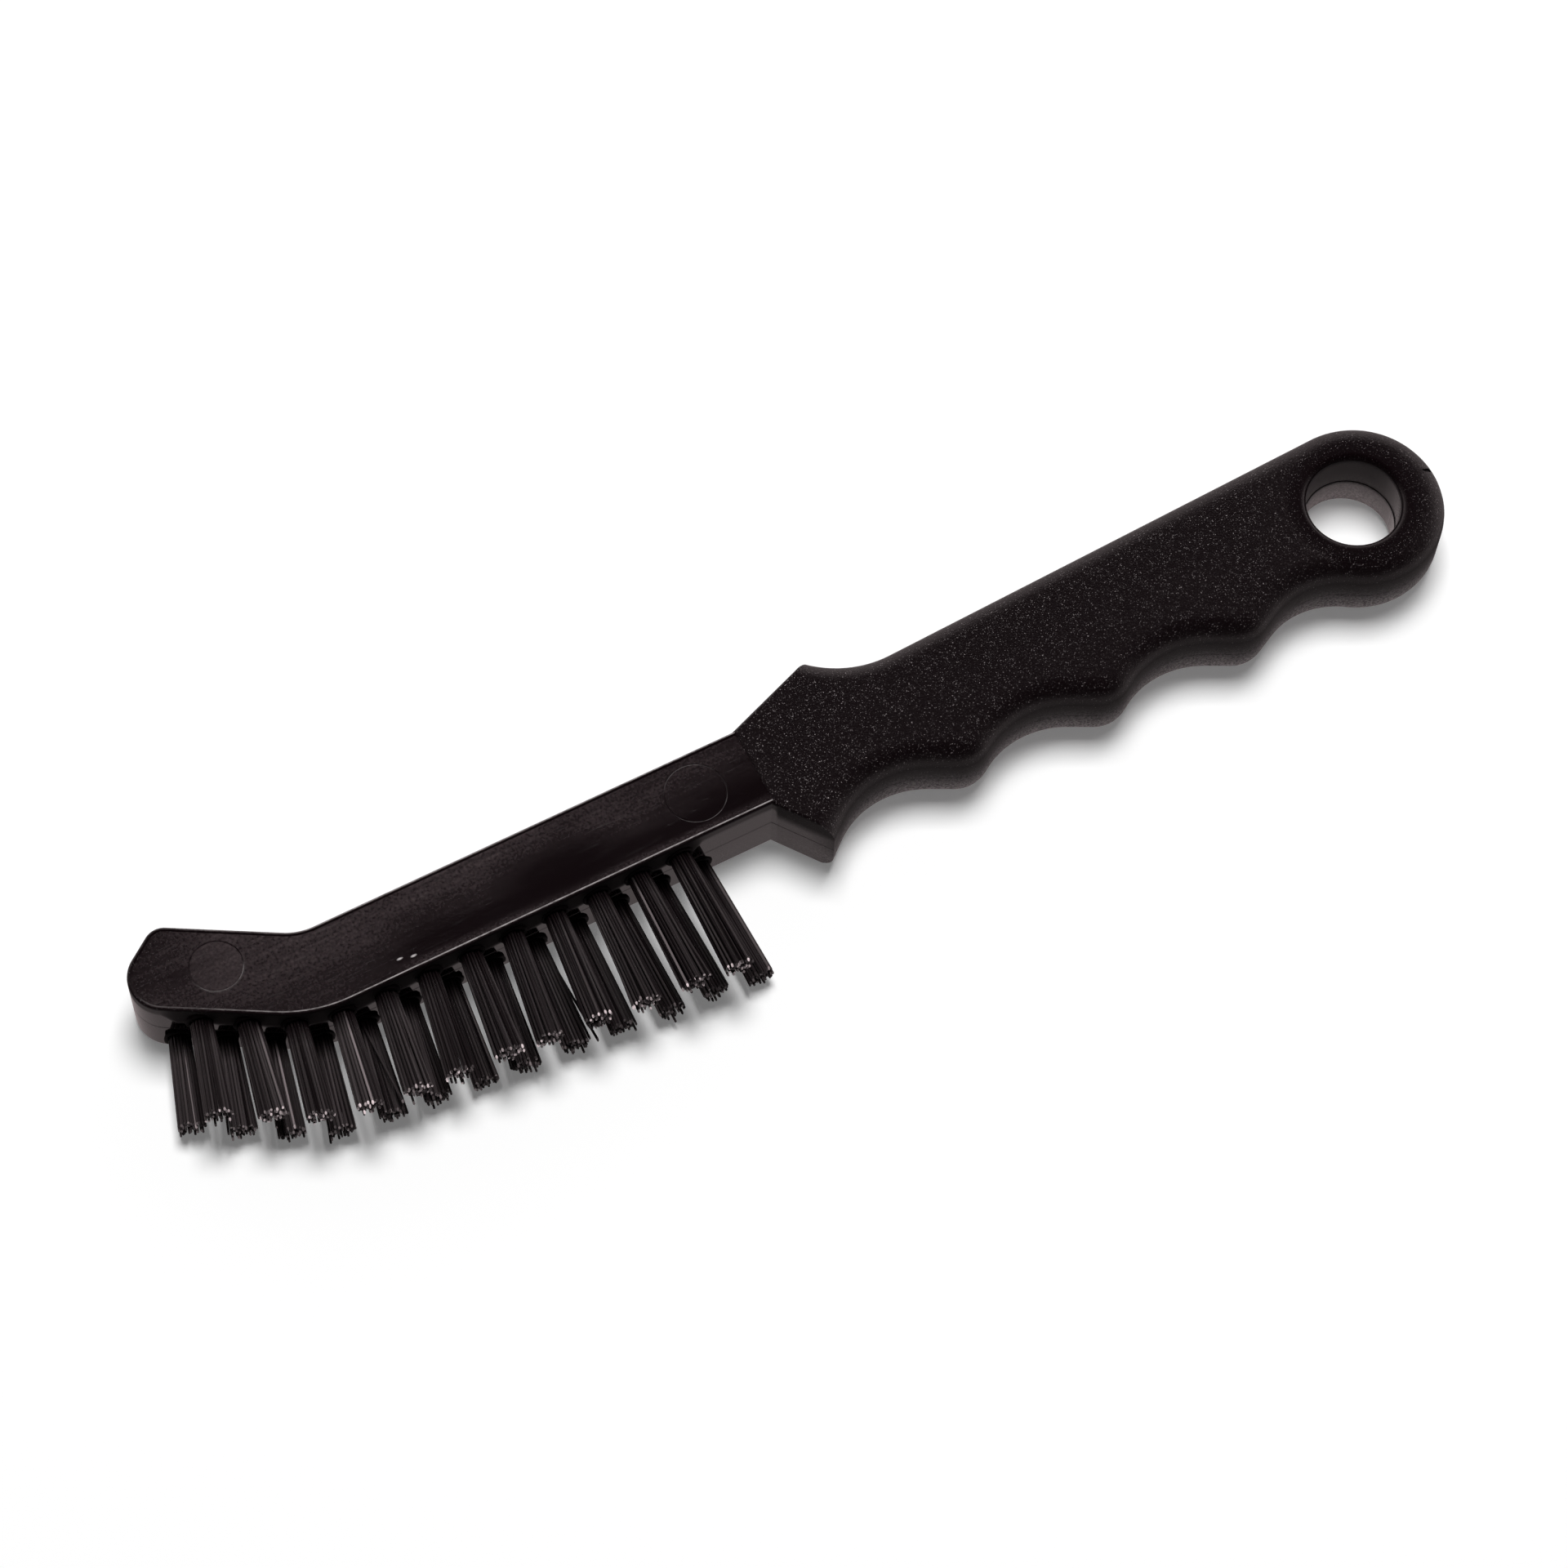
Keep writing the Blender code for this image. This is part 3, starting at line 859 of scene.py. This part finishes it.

# %% [markdown]
# ## Finishes
#
# All the plastic is black, so the finish is in the gloss: the head is smooth and satin, the flat faces
# of the grip have a coarse spark-eroded grain, and the filaments shine along their length. Some light and
# shade is also painted into the colours. The patterns read object coordinates, which are metres here.

# %% Tools for building a material


class Nodes:
    """Shader nodes that are added one by one and linked as they come."""

    def __init__(self, tree):
        self.tree = tree

    def node(self, kind, **settings):
        made = self.tree.nodes.new(kind)
        for name, value in settings.items():
            setattr(made, name, value)
        return made

    def feed(self, socket, value):
        if isinstance(value, bpy.types.NodeSocket):
            self.tree.links.new(value, socket)
        else:
            socket.default_value = value

    def fed(self, made, *values):
        """Feeds a node's sockets in their order."""
        for socket, value in zip(made.inputs, values):
            self.feed(socket, value)
        return made

    def math(self, operation, *values, clamp=False):
        return self.fed(self.node("ShaderNodeMath", operation=operation, use_clamp=clamp), *values).outputs[0]

    def product(self, first, *others):
        for other in others:
            first = self.math("MULTIPLY", first, other)
        return first

    def total(self, first, *others):
        for other in others:
            first = self.math("ADD", first, other)
        return first

    def inverse(self, share):
        return self.math("SUBTRACT", 1.0, share)

    def raised(self, base, share, amount):
        """The base and a share of an amount."""
        return self.math("MULTIPLY_ADD", share, amount, base)

    def distance(self, value, middle):
        return self.math("ABSOLUTE", self.math("SUBTRACT", value, middle))

    def vector(self, operation, *values):
        return self.fed(self.node("ShaderNodeVectorMath", operation=operation), *values).outputs

    def split(self, vector):
        return self.fed(self.node("ShaderNodeSeparateXYZ"), vector).outputs

    def ranged(self, value, low, high, new_low=0.0, new_high=1.0):
        """A number from one range laid onto another, and cut off at its ends."""
        return self.fed(self.node("ShaderNodeMapRange"), value, low, high, new_low, new_high).outputs[0]

    def over(self, share, under, light):
        """A light colour laid over another one, by a share from 0 to 1."""
        made = self.node("ShaderNodeMix", data_type="RGBA")
        self.feed(made.inputs["Factor"], share)
        self.feed(made.inputs["A"], under)
        self.feed(made.inputs["B"], (*light, 1))
        return made.outputs["Result"]

    def tone(self, share, dark, light):
        """A colour between two, by a share from 0 to 1."""
        return self.over(share, (*dark, 1), light)


class Finish(Nodes):
    """A material. Its patterns are laid out in the object's own coordinates."""

    def __init__(self, name):
        self.material = bpy.data.materials.new(name)
        self.material.use_nodes = True
        super().__init__(self.material.node_tree)
        self.shader = self.tree.nodes["Principled BSDF"]
        coordinates = self.node("ShaderNodeTexCoord").outputs
        self.place = coordinates["Object"]
        self.facing = coordinates["Normal"]

    def noise(self, scale, where=None, **looks):
        """Cloudy noise. Its looks are the node's own numbers, such as Detail."""
        made = self.node("ShaderNodeTexNoise")
        self.feed(made.inputs["Vector"], where or self.place)
        made.inputs["Scale"].default_value = scale
        for name, value in looks.items():
            made.inputs[name].default_value = value
        return made.outputs["Fac"]

    def patches(self, scale, low, high, new_low=0.0, new_high=1.0, **looks):
        return self.ranged(self.noise(scale, **looks), low, high, new_low, new_high)

    def carried(self, name):
        """A number that the mesh carries itself."""
        return self.node("ShaderNodeAttribute", attribute_name=name).outputs["Fac"]

    def stretched(self, *scale):
        made = self.node("ShaderNodeMapping")
        self.feed(made.inputs["Vector"], self.place)
        made.inputs["Scale"].default_value = scale
        return made.outputs["Vector"]

    def bump(self, height, distance):
        made = self.node("ShaderNodeBump")
        self.feed(made.inputs["Height"], height)
        made.inputs["Strength"].default_value = 1.0
        made.inputs["Distance"].default_value = distance
        return made.outputs["Normal"]

    def set(self, **inputs):
        for name, value in inputs.items():
            self.feed(self.shader.inputs[name.replace("_", " ")], value)

    def dress(self, *objects):
        for obj in objects:
            obj.data.materials.clear()
            obj.data.materials.append(self.material)


print("a noise scale of 2000 makes a grain of", round(1 / 2000 / MM, 2), "mm")

# %% [markdown]
# ### The handle's plastic
#
# One material covers the whole moulding, because the real one is a single shot of black plastic. It
# reads where it is. The flat faces of the grip have a fine pebbled grain with painted glints as bright
# specks, and its rounded sides are matt. The head is satin, with a painted cloudy sheen, and its front lip
# is rubbed bright, partly by wear and partly by a painted highlight. Light is also painted on the front
# sides and in the hole.
#
# The first cell makes shares from 0 to 1, for each part of the handle and each way that a face points.
# Every pattern below is multiplied by the shares of the places where it belongs.

# %% Where things are on the handle
GRAIN_START = 0.0003

plastic = Finish("handle_plastic")
x_place, y_place, z_place = plastic.split(plastic.place)
_, facing_y, facing_z = plastic.split(plastic.facing)
flatness = plastic.math("ABSOLUTE", facing_z)
on_grip = plastic.ranged(x_place, GRAIN_START, GRAIN_START + 0.0004)
on_head = plastic.inverse(on_grip)
on_top = plastic.ranged(facing_z, 0.90, 0.985)
on_side = plastic.ranged(flatness, 0.95, 0.6)
on_wall = plastic.ranged(flatness, 0.55, 0.15)
to_back = plastic.ranged(facing_y, -0.1, 0.25)
to_front = plastic.ranged(facing_y, 0.4, -0.45)
grained = plastic.product(plastic.ranged(flatness, 0.1, 0.97, 0.25, 1.0), on_grip)


def away_from(x, y, length=1.0, width=1.0):
    """How far a place is from a point, seen from above, measured in a length and a width."""
    squares = []
    for run, middle, unit in ((x_place, x, length), (y_place, y, width)):
        steps = plastic.math("DIVIDE", plastic.math("SUBTRACT", run, middle), unit)
        squares.append(plastic.math("POWER", plastic.math("ABSOLUTE", steps), 2.0))
    return plastic.math("SQRT", plastic.total(*squares))


def spot(x, y, length, width, edge=0.4):
    """1 in the middle of an oval mark on the handle's top, and 0 at its rim and beyond."""
    return plastic.product(plastic.ranged(away_from(x, y, length, width), 1.0, edge), on_top)


def ring_line(place, radius, width):
    """1 on a thin circle on the top of the handle."""
    gap = plastic.distance(away_from(*place), radius)
    return plastic.product(plastic.ranged(gap, width, width / 3), on_top)


from_hole = away_from(*HOLE_CENTRE)
in_bore = plastic.ranged(from_hole, HOLE_RADIUS + 0.0005, HOLE_RADIUS + 0.0002)
near_hole = plastic.ranged(from_hole, HOLE_RADIUS + 0.0042, HOLE_RADIUS + 0.0015)
print("nodes so far:", len(plastic.tree.nodes))

# %% [markdown]
# The head's sheen is painted into its colour: a painted reflection in cloudy grey that is strongest along
# its upper half and at the kink, with a painted light strip just before the front lip. Fine streaks and a
# mottle break it up. The painted sheen leaves out a dark pool in the middle of the head, and the disc near
# the tip gets a little more of it.

# %% The head's painted sheen
PAINTED_SHEEN_LEVEL = 0.048
POOL = (-0.0347, -0.0017, 0.014, 0.006)
POOL_DEPTH = 0.85
DISC_PAINTED_SHEEN = 0.18

along = plastic.stretched(0.4, 1, 1)
hair_thin = plastic.stretched(0.04, 1, 1)
clouds = plastic.patches(95, 0.32, 0.68, 0.35, 1.15, where=along, Detail=5, Roughness=0.6)
streaks = plastic.patches(1500, 0.3, 0.7, 0.7, 1.3, where=hair_thin, Detail=3)
mottle = plastic.patches(2100, 0.3, 0.7, 0.4, 1.6)
upper_half = plastic.ranged(y_place, -0.003, 0.004)
at_bend = plastic.product(
    plastic.ranged(x_place, -0.060, -0.078), plastic.ranged(x_place, -0.096, -0.086)
)
near_lip = plastic.product(
    plastic.ranged(y_place, -0.0049, -0.0060, 0.0, 0.35), plastic.ranged(x_place, -0.067, -0.061)
)
pool = plastic.inverse(plastic.product(spot(*POOL), POOL_DEPTH))
disc = spot(*TIP_MARK, TIP_MARK_RADIUS, TIP_MARK_RADIUS, edge=0.95)

# The painted sheen is colour that stands in for light reflected by the satin top: lighter along the upper
# half, at the kink, before the lip and on the disc.
painted_sheen = plastic.product(clouds, plastic.raised(0.03, upper_half, 0.55))
painted_sheen = plastic.raised(painted_sheen, at_bend, 0.35)
painted_sheen = plastic.product(painted_sheen, plastic.ranged(x_place, -0.080, -0.060, 0.65, 1.05))
painted_sheen = plastic.total(painted_sheen, near_lip)
painted_sheen = plastic.product(painted_sheen, plastic.ranged(x_place, -0.016, -0.002, 1.0, 0.7), streaks, pool, mottle)
painted_sheen = plastic.raised(painted_sheen, disc, DISC_PAINTED_SHEEN)
painted_sheen = plastic.product(painted_sheen, on_head, on_top, PAINTED_SHEEN_LEVEL)
print("extra sheen on the disc:", DISC_PAINTED_SHEEN)

# %% [markdown]
# The grip has a faint grey ground of its own. A painted reflection of the white floor makes the front
# sides paler towards the floor, faintly on the last centimetre of the head and clearly on the grip.
# Light is painted on the wall of the hole too, more below its step than above it, and left out along a
# dark line at the step.

# %% Painted light on the front sides and in the hole, and the grip's grey ground
PAINTED_GLOW_LEVEL = 0.27
SEAM = MIDDLE - 0.0002

uneven = plastic.patches(3000, 0.35, 0.65, 0.4, 1.6)
ground_tone = plastic.product(on_grip, plastic.ranged(near_hole, 0.0, 1.0, 0.0017, 0.0005), uneven)
head_end = plastic.ranged(x_place, -0.0135, -0.0120, 0.0, 0.12)
along_grip = plastic.product(plastic.ranged(x_place, 0.004, 0.009), 0.7)
# Painted reflection of the floor: the front sides are painted paler the lower they are.
painted_floor_light = plastic.math("POWER", plastic.ranged(z_place, 0.0105, 0.0030), 2.0)
painted_floor_light = plastic.product(
    painted_floor_light, PAINTED_GLOW_LEVEL, on_side, plastic.total(head_end, along_grip), to_front, uneven
)
# Painted light on the wall of the hole, stronger below the step and left out along the seam.
off_seam = plastic.ranged(plastic.distance(z_place, SEAM), 0.00012, 0.0003)
painted_bore_light = plastic.product(
    off_seam, in_bore, on_wall, plastic.ranged(z_place, MIDDLE - 0.001, MIDDLE, 0.22, 0.065)
)
# All the painted light of this cell, and the grip's own grey ground.
painted_light_and_ground = plastic.total(painted_floor_light, painted_bore_light, ground_tone)
print("dark line in the hole at", round(SEAM / MM, 2), "mm")

# %% [markdown]
# Painted glints make the grain's peaks glitter as bright flecks, weaker near the hole. The finer marks are
# pale: painted highlights on an arc of the disc and on the broken ring near the grip, dust at the tip,
# the front lip, partly rubbed and partly a painted highlight, two small scuffs and hair-fine scratches.

# %% Painted glints, painted highlights and pale marks
PAINTED_ARC_LEVEL = 0.016
SCUFF_LEVEL = 0.5
SCUFFS = ((-0.06419, -0.00416, 0.0006, 0.00022), (-0.06204, -0.00467, 0.0006, 0.00024))

# Painted glints: bright flecks on the grain's peaks that stand in for glitter from the light.
painted_glints = plastic.product(
    plastic.patches(5400, 0.667, 0.772, 0.0, 0.46, Detail=1), grained,
    plastic.ranged(x_place, 0.006, 0.034, 1.0, 0.72), plastic.ranged(near_hole, 0.0, 1.0, 1.0, 0.2),
)
dust = plastic.product(
    plastic.patches(3600, 0.66, 0.75, 0.0, 0.05, Detail=1), on_head, plastic.ranged(x_place, -0.085, -0.1)
)
# Painted highlights: a pale arc on the lower rim of the disc, and a broken pale ring near the grip.
disc_arc_highlight = plastic.product(
    ring_line(TIP_MARK, TIP_MARK_RADIUS + 0.0002, 0.00022),
    plastic.ranged(y_place, TIP_MARK.y + 0.001, TIP_MARK.y - 0.003),
)
broken_ring_highlight = plastic.product(
    ring_line(RING_MARK, RING_MARK_RADIUS, 0.00016), plastic.patches(260, 0.48, 0.62, Detail=1)
)
painted_arc_highlights = plastic.product(plastic.total(disc_arc_highlight, broken_ring_highlight), PAINTED_ARC_LEVEL)
# The front lip is partly rubbed and partly a painted highlight, laid on the lip's slope that faces the back.
lip_wear_and_highlight = plastic.product(
    plastic.ranged(facing_z, 0.985, 0.95), plastic.ranged(facing_z, 0.80, 0.85),
    plastic.ranged(facing_y, 0.10, 0.22),
    plastic.ranged(z_place, THICKNESS - 0.0003, THICKNESS - 0.0002), on_head,
    plastic.patches(900, 0.3, 0.6, 0.35, 1.0), plastic.ranged(x_place, -0.098, -0.070, 0.04, 0.32),
)
scuffs = plastic.product(plastic.total(*[spot(*scuff) for scuff in SCUFFS]), SCUFF_LEVEL)
hairlines = plastic.stretched(0.11, 2.2, 1)
scratches = plastic.product(
    plastic.patches(900, 0.64, 0.74, 0.0, 0.010, where=hairlines, Distortion=1.2), on_top, on_head
)
# Pale marks: dust, scuffs and scratches, with the painted highlights of the arcs and the lip.
pale_marks_and_highlights = plastic.total(painted_arc_highlights, dust, lip_wear_and_highlight, scuffs, scratches)
print("scuffs:", len(SCUFFS))

# %% [markdown]
# The colour is laid in four coats over black: the painted sheen, the painted light with the grip's grey
# ground, the painted glints, and the pale marks with their painted highlights. None is a pure grey,
# because the black of the photo is a little red.

# %% The handle's colour
BLACK = (0.0034, 0.0014, 0.0020)
PAINTED_SHEEN_GREY = (1.0, 0.76, 0.79)
COATS = ((painted_light_and_ground, (1.0, 0.87, 0.88)), (painted_glints, (1.0, 0.89, 0.90)), (pale_marks_and_highlights, (1.0, 0.93, 0.93)))

colour = plastic.tone(painted_sheen, BLACK, PAINTED_SHEEN_GREY)
for share, light in COATS:
    colour = plastic.over(share, colour, light)
print("coats over the black:", 1 + len(COATS))

# %% [markdown]
# The grain is also a bump, flatter near the hole. The gloss differs from place to place: the matt parts
# are the grip's front sides and the shaded strip under the head's lip, which comes lower where the
# tufts stand.

# %% The handle's surface
BUMP_HEIGHT = 0.00016
HEAD_ROUGHNESS = 0.17

pebbles = plastic.product(
    plastic.noise(4200, Detail=1.5), grained, plastic.ranged(near_hole, 0.0, 1.0, 0.62, 0.12)
)
fine = plastic.product(plastic.noise(6500, Detail=1), plastic.raised(0.012, on_grip, 0.16))
skin = plastic.bump(plastic.total(pebbles, fine), BUMP_HEIGHT)

matt_side = plastic.math(
    "MAXIMUM", plastic.ranged(x_place, 0.004, 0.009), plastic.ranged(z_place, 0.0088, 0.0112)
)
matt_side = plastic.product(matt_side, on_wall, on_grip, to_front)
among_tufts = plastic.product(
    plastic.ranged(x_place, -0.101, -0.099), plastic.ranged(x_place, -0.0125, -0.0145)
)
shade_start = plastic.raised(0.0113, among_tufts, -0.0026)
under_lip = plastic.product(
    plastic.ranged(z_place, shade_start, plastic.total(shade_start, 0.0012)),
    on_head, on_side, plastic.inverse(to_back),
)
rough = HEAD_ROUGHNESS
for share, amount in (
    (on_grip, 0.13),
    (matt_side, 0.48),
    (plastic.product(clouds, on_head), 0.05),
    (near_hole, -0.14),
    (plastic.product(on_side, on_head), -0.12),
    (under_lip, plastic.ranged(among_tufts, 0.0, 1.0, 0.45, 0.8)),
):
    rough = plastic.raised(rough, share, amount)
plastic.set(Base_Color=colour, Roughness=rough, Normal=skin)
plastic.dress(grip)
print("nodes in the handle's finish:", len(plastic.tree.nodes))

# %% [markdown]
# The pushed-up rims are the same black, but torn and dull, with hardly any gloss.

# %% The rims' surface
pushed_up = Finish("rim_plastic")
torn_black = pushed_up.tone(pushed_up.noise(1400), (0.0008, 0.0003, 0.0005), (0.0050, 0.0030, 0.0035))
pushed_up.set(Base_Color=torn_black, Roughness=0.75, Specular_IOR_Level=0.15)
pushed_up.dress(rims)
print("nodes in the rims' finish:", len(pushed_up.tree.nodes))

# %% [markdown]
# ### Filaments and anchors
#
# Nylon filament is black and glossier than the handle. Each strand carries a number of its own, so its
# tone differs a little from the next one, and about two in a hundred are pale. Shade is painted on the
# strands where they leave their hole, and light is painted on the tufts towards the tip of the head. A
# cut end is torn and whitish, with a painted glint on it that is strongest on the upper row, so it
# shows as a whitish dot. The anchors keep their CAD solids and get the look of drawn wire.

# %% Filament nylon
NYLON_BLACK = (0.0034, 0.0016, 0.0021)
NYLON_WHITE = (1.0, 0.84, 0.86)

nylon = Finish("filament_nylon")
strand = nylon.carried("strand")
ends = nylon.carried("cut_end")
x_nylon, _, z_nylon = nylon.split(nylon.place)
strand_grey_and_painted_light = nylon.total(
    nylon.ranged(strand, 0.0, 0.95, 0.004, 0.042), nylon.ranged(strand, 0.97, 0.985, 0.0, 0.13)
)
# Painted light and shade: the strands are painted lighter towards the tip of the head, and dark near their
# hole.
strand_grey_and_painted_light = nylon.product(
    strand_grey_and_painted_light, nylon.ranged(x_nylon, -0.05, -0.08, 1.0, 1.5),
    nylon.ranged(nylon.carried("out"), 0.0012, 0.0045, 0.08, 1.0),
)
# Cut ends: torn whitish nylon with a painted glint, painted stronger on the upper row.
torn_ends_and_glints = nylon.product(
    nylon.ranged(strand, 0.38, 0.92, 0.06, 0.95), ends, nylon.ranged(z_nylon, 0.006, 0.009, 0.25, 1.0)
)
nylon.set(
    Base_Color=nylon.tone(nylon.math("ADD", strand_grey_and_painted_light, torn_ends_and_glints, clamp=True), NYLON_BLACK, NYLON_WHITE),
    Roughness=nylon.raised(nylon.ranged(strand, 0.0, 1.0, 0.20, 0.32), ends, 0.2),
)
nylon.dress(*brushes)
print("pieces of nylon:", len(brushes))

# %% Anchor wire
wire = Finish("anchor_wire")
drawn = wire.noise(900, where=wire.stretched(0.1, 1.0, 1.0))
wire.set(
    Base_Color=wire.tone(drawn, (0.42, 0.40, 0.37), (0.62, 0.60, 0.56)),
    Roughness=wire.ranged(drawn, 0.3, 0.7, 0.25, 0.42),
    Metallic=1.0,
)
for name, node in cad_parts.items():
    if name.startswith("anchor_"):
        for slot in node.material_slots:
            slot.material = wire.material
print("materials:", [m.name for m in bpy.data.materials])

# %% [markdown]
# ## The floor, the light and the camera
#
# The photograph was taken on white, with the light high up and a little behind the brush, so that only
# a narrow soft shadow lies in front. The room in front of the brush is dark, and the wall behind it is
# pale near the floor. That keeps the top faces black and draws a pale line along the rear edges.
#
# The floor glows a little for the camera, so that it shows as pure white and keeps the shadow. In the
# gloss of the brush it is a plain mid grey with a warm tint.

# %% Floor
FLOOR_DROP = 0.0001

floor = settle(add(bpy.ops.mesh.primitive_plane_add, "floor", size=6, location=(0, 0, -FLOOR_DROP)))
ground = Finish("floor_white")
path = ground.node("ShaderNodeLightPath")
in_gloss = path.outputs["Is Glossy Ray"]
ground.set(
    Base_Color=ground.tone(in_gloss, (0.93, 0.93, 0.93), (0, 0, 0)),
    Roughness=0.8,
    Emission_Strength=ground.raised(ground.product(path.outputs["Is Camera Ray"], 0.16), in_gloss, 0.42),
    Emission_Color=ground.tone(in_gloss, (1, 1, 1), (1.0, 0.86, 0.865)),
    Specular_IOR_Level=0.0,
)
ground.dress(floor)
print("floor at", floor.bound_box[0][2], "m")

# %% [markdown]
# The world is the room. A ramp makes it pale near the floor and dark overhead, and a second factor
# makes it dark in front of the brush. It is dimmed for all but the gloss, which deepens the shadow.

# %% World
TO_BACK = (0.515, 0.857, 0.0)
OVERHEAD = 0.03
STOPS = ((0.2, 0.68), (0.46, 0.34), (0.68, 0.11), (0.84, 0.045))

world = bpy.data.worlds.new("studio")
bpy.context.scene.world = world
world.use_nodes = True
sky = Nodes(world.node_tree)
direction = sky.node("ShaderNodeTexCoord").outputs["Generated"]
seen = sky.node("ShaderNodeLightPath").outputs
ramp = sky.fed(sky.node("ShaderNodeValToRGB"), sky.split(direction)["Z"])
stops = ramp.color_ramp.elements
stops[0].position, stops[0].color = 0.0, (1, 1, 1, 1)
stops[1].position, stops[1].color = 1.0, (OVERHEAD, OVERHEAD, OVERHEAD, 1)
for height, level in STOPS:
    stops.new(height).color = (level, level, level, 1)
behind = sky.ranged(sky.vector("DOT_PRODUCT", direction, TO_BACK)["Value"], -0.1, 0.4, 0.05, 1.0)
shaded = sky.node("ShaderNodeVectorMath", operation="SCALE")
sky.feed(shaded.inputs[0], ramp.outputs["Color"])
sky.feed(shaded.inputs["Scale"], behind)
tint = sky.tone(seen["Is Glossy Ray"], (0.7, 0.7, 0.7), (1.0, 0.86, 0.87))
room = sky.vector("MULTIPLY", shaded.outputs[0], tint)[0]
sky.feed(sky.tree.nodes["Background"].inputs["Color"], sky.over(seen["Is Camera Ray"], room, (1, 1, 1)))
print("world stops:", [(round(stop.position, 2), round(stop.color[0], 2)) for stop in stops])

# %% [markdown]
# One square softbox hangs high behind the brush. It casts the shadow, and it doesn't show in the gloss,
# where it would burn out the black.

# %% Lamp
KEY_PLACE = Vector((0.350, 0.583, 2.407))
KEY_SIZE = 1.1
KEY_POWER = 60

bpy.ops.object.light_add(type="AREA", location=KEY_PLACE)
key = bpy.context.object
key.name = "key_softbox"
key.data.shape = "SQUARE"
key.data.size = KEY_SIZE
key.data.energy = KEY_POWER
key.rotation_euler = (-KEY_PLACE).to_track_quat("-Z", "Y").to_euler()
key.visible_glossy = False
print("key lamp at", [round(v, 3) for v in key.location])

# %% [markdown]
# The camera was fitted to the photograph. It is high up on the bristle side, towards the tip.

# %% Camera
AIM = Vector((0.00674, 0.00091, 0))
DISTANCE = 0.75771
ELEVATION = radians(64.20)
AZIMUTH = radians(-30.97)
ROLL = radians(3.37)
SENSOR = 36
LENS = 107.10
NEAREST = 0.01

turn = Matrix.Rotation(AZIMUTH, 4, "Z") @ Matrix.Rotation(pi / 2 - ELEVATION, 4, "X")
turn = turn @ Matrix.Rotation(ROLL, 4, "Z")
bpy.ops.object.camera_add()
camera = bpy.context.object
camera.matrix_world = Matrix.Translation(AIM + turn.to_3x3() @ Vector((0, 0, DISTANCE))) @ turn
camera.data.sensor_width = SENSOR
camera.data.lens = LENS
camera.data.clip_start = NEAREST
bpy.context.scene.camera = camera
bpy.context.scene.view_settings.view_transform = "Standard"
print("camera at", [round(v, 4) for v in camera.location])
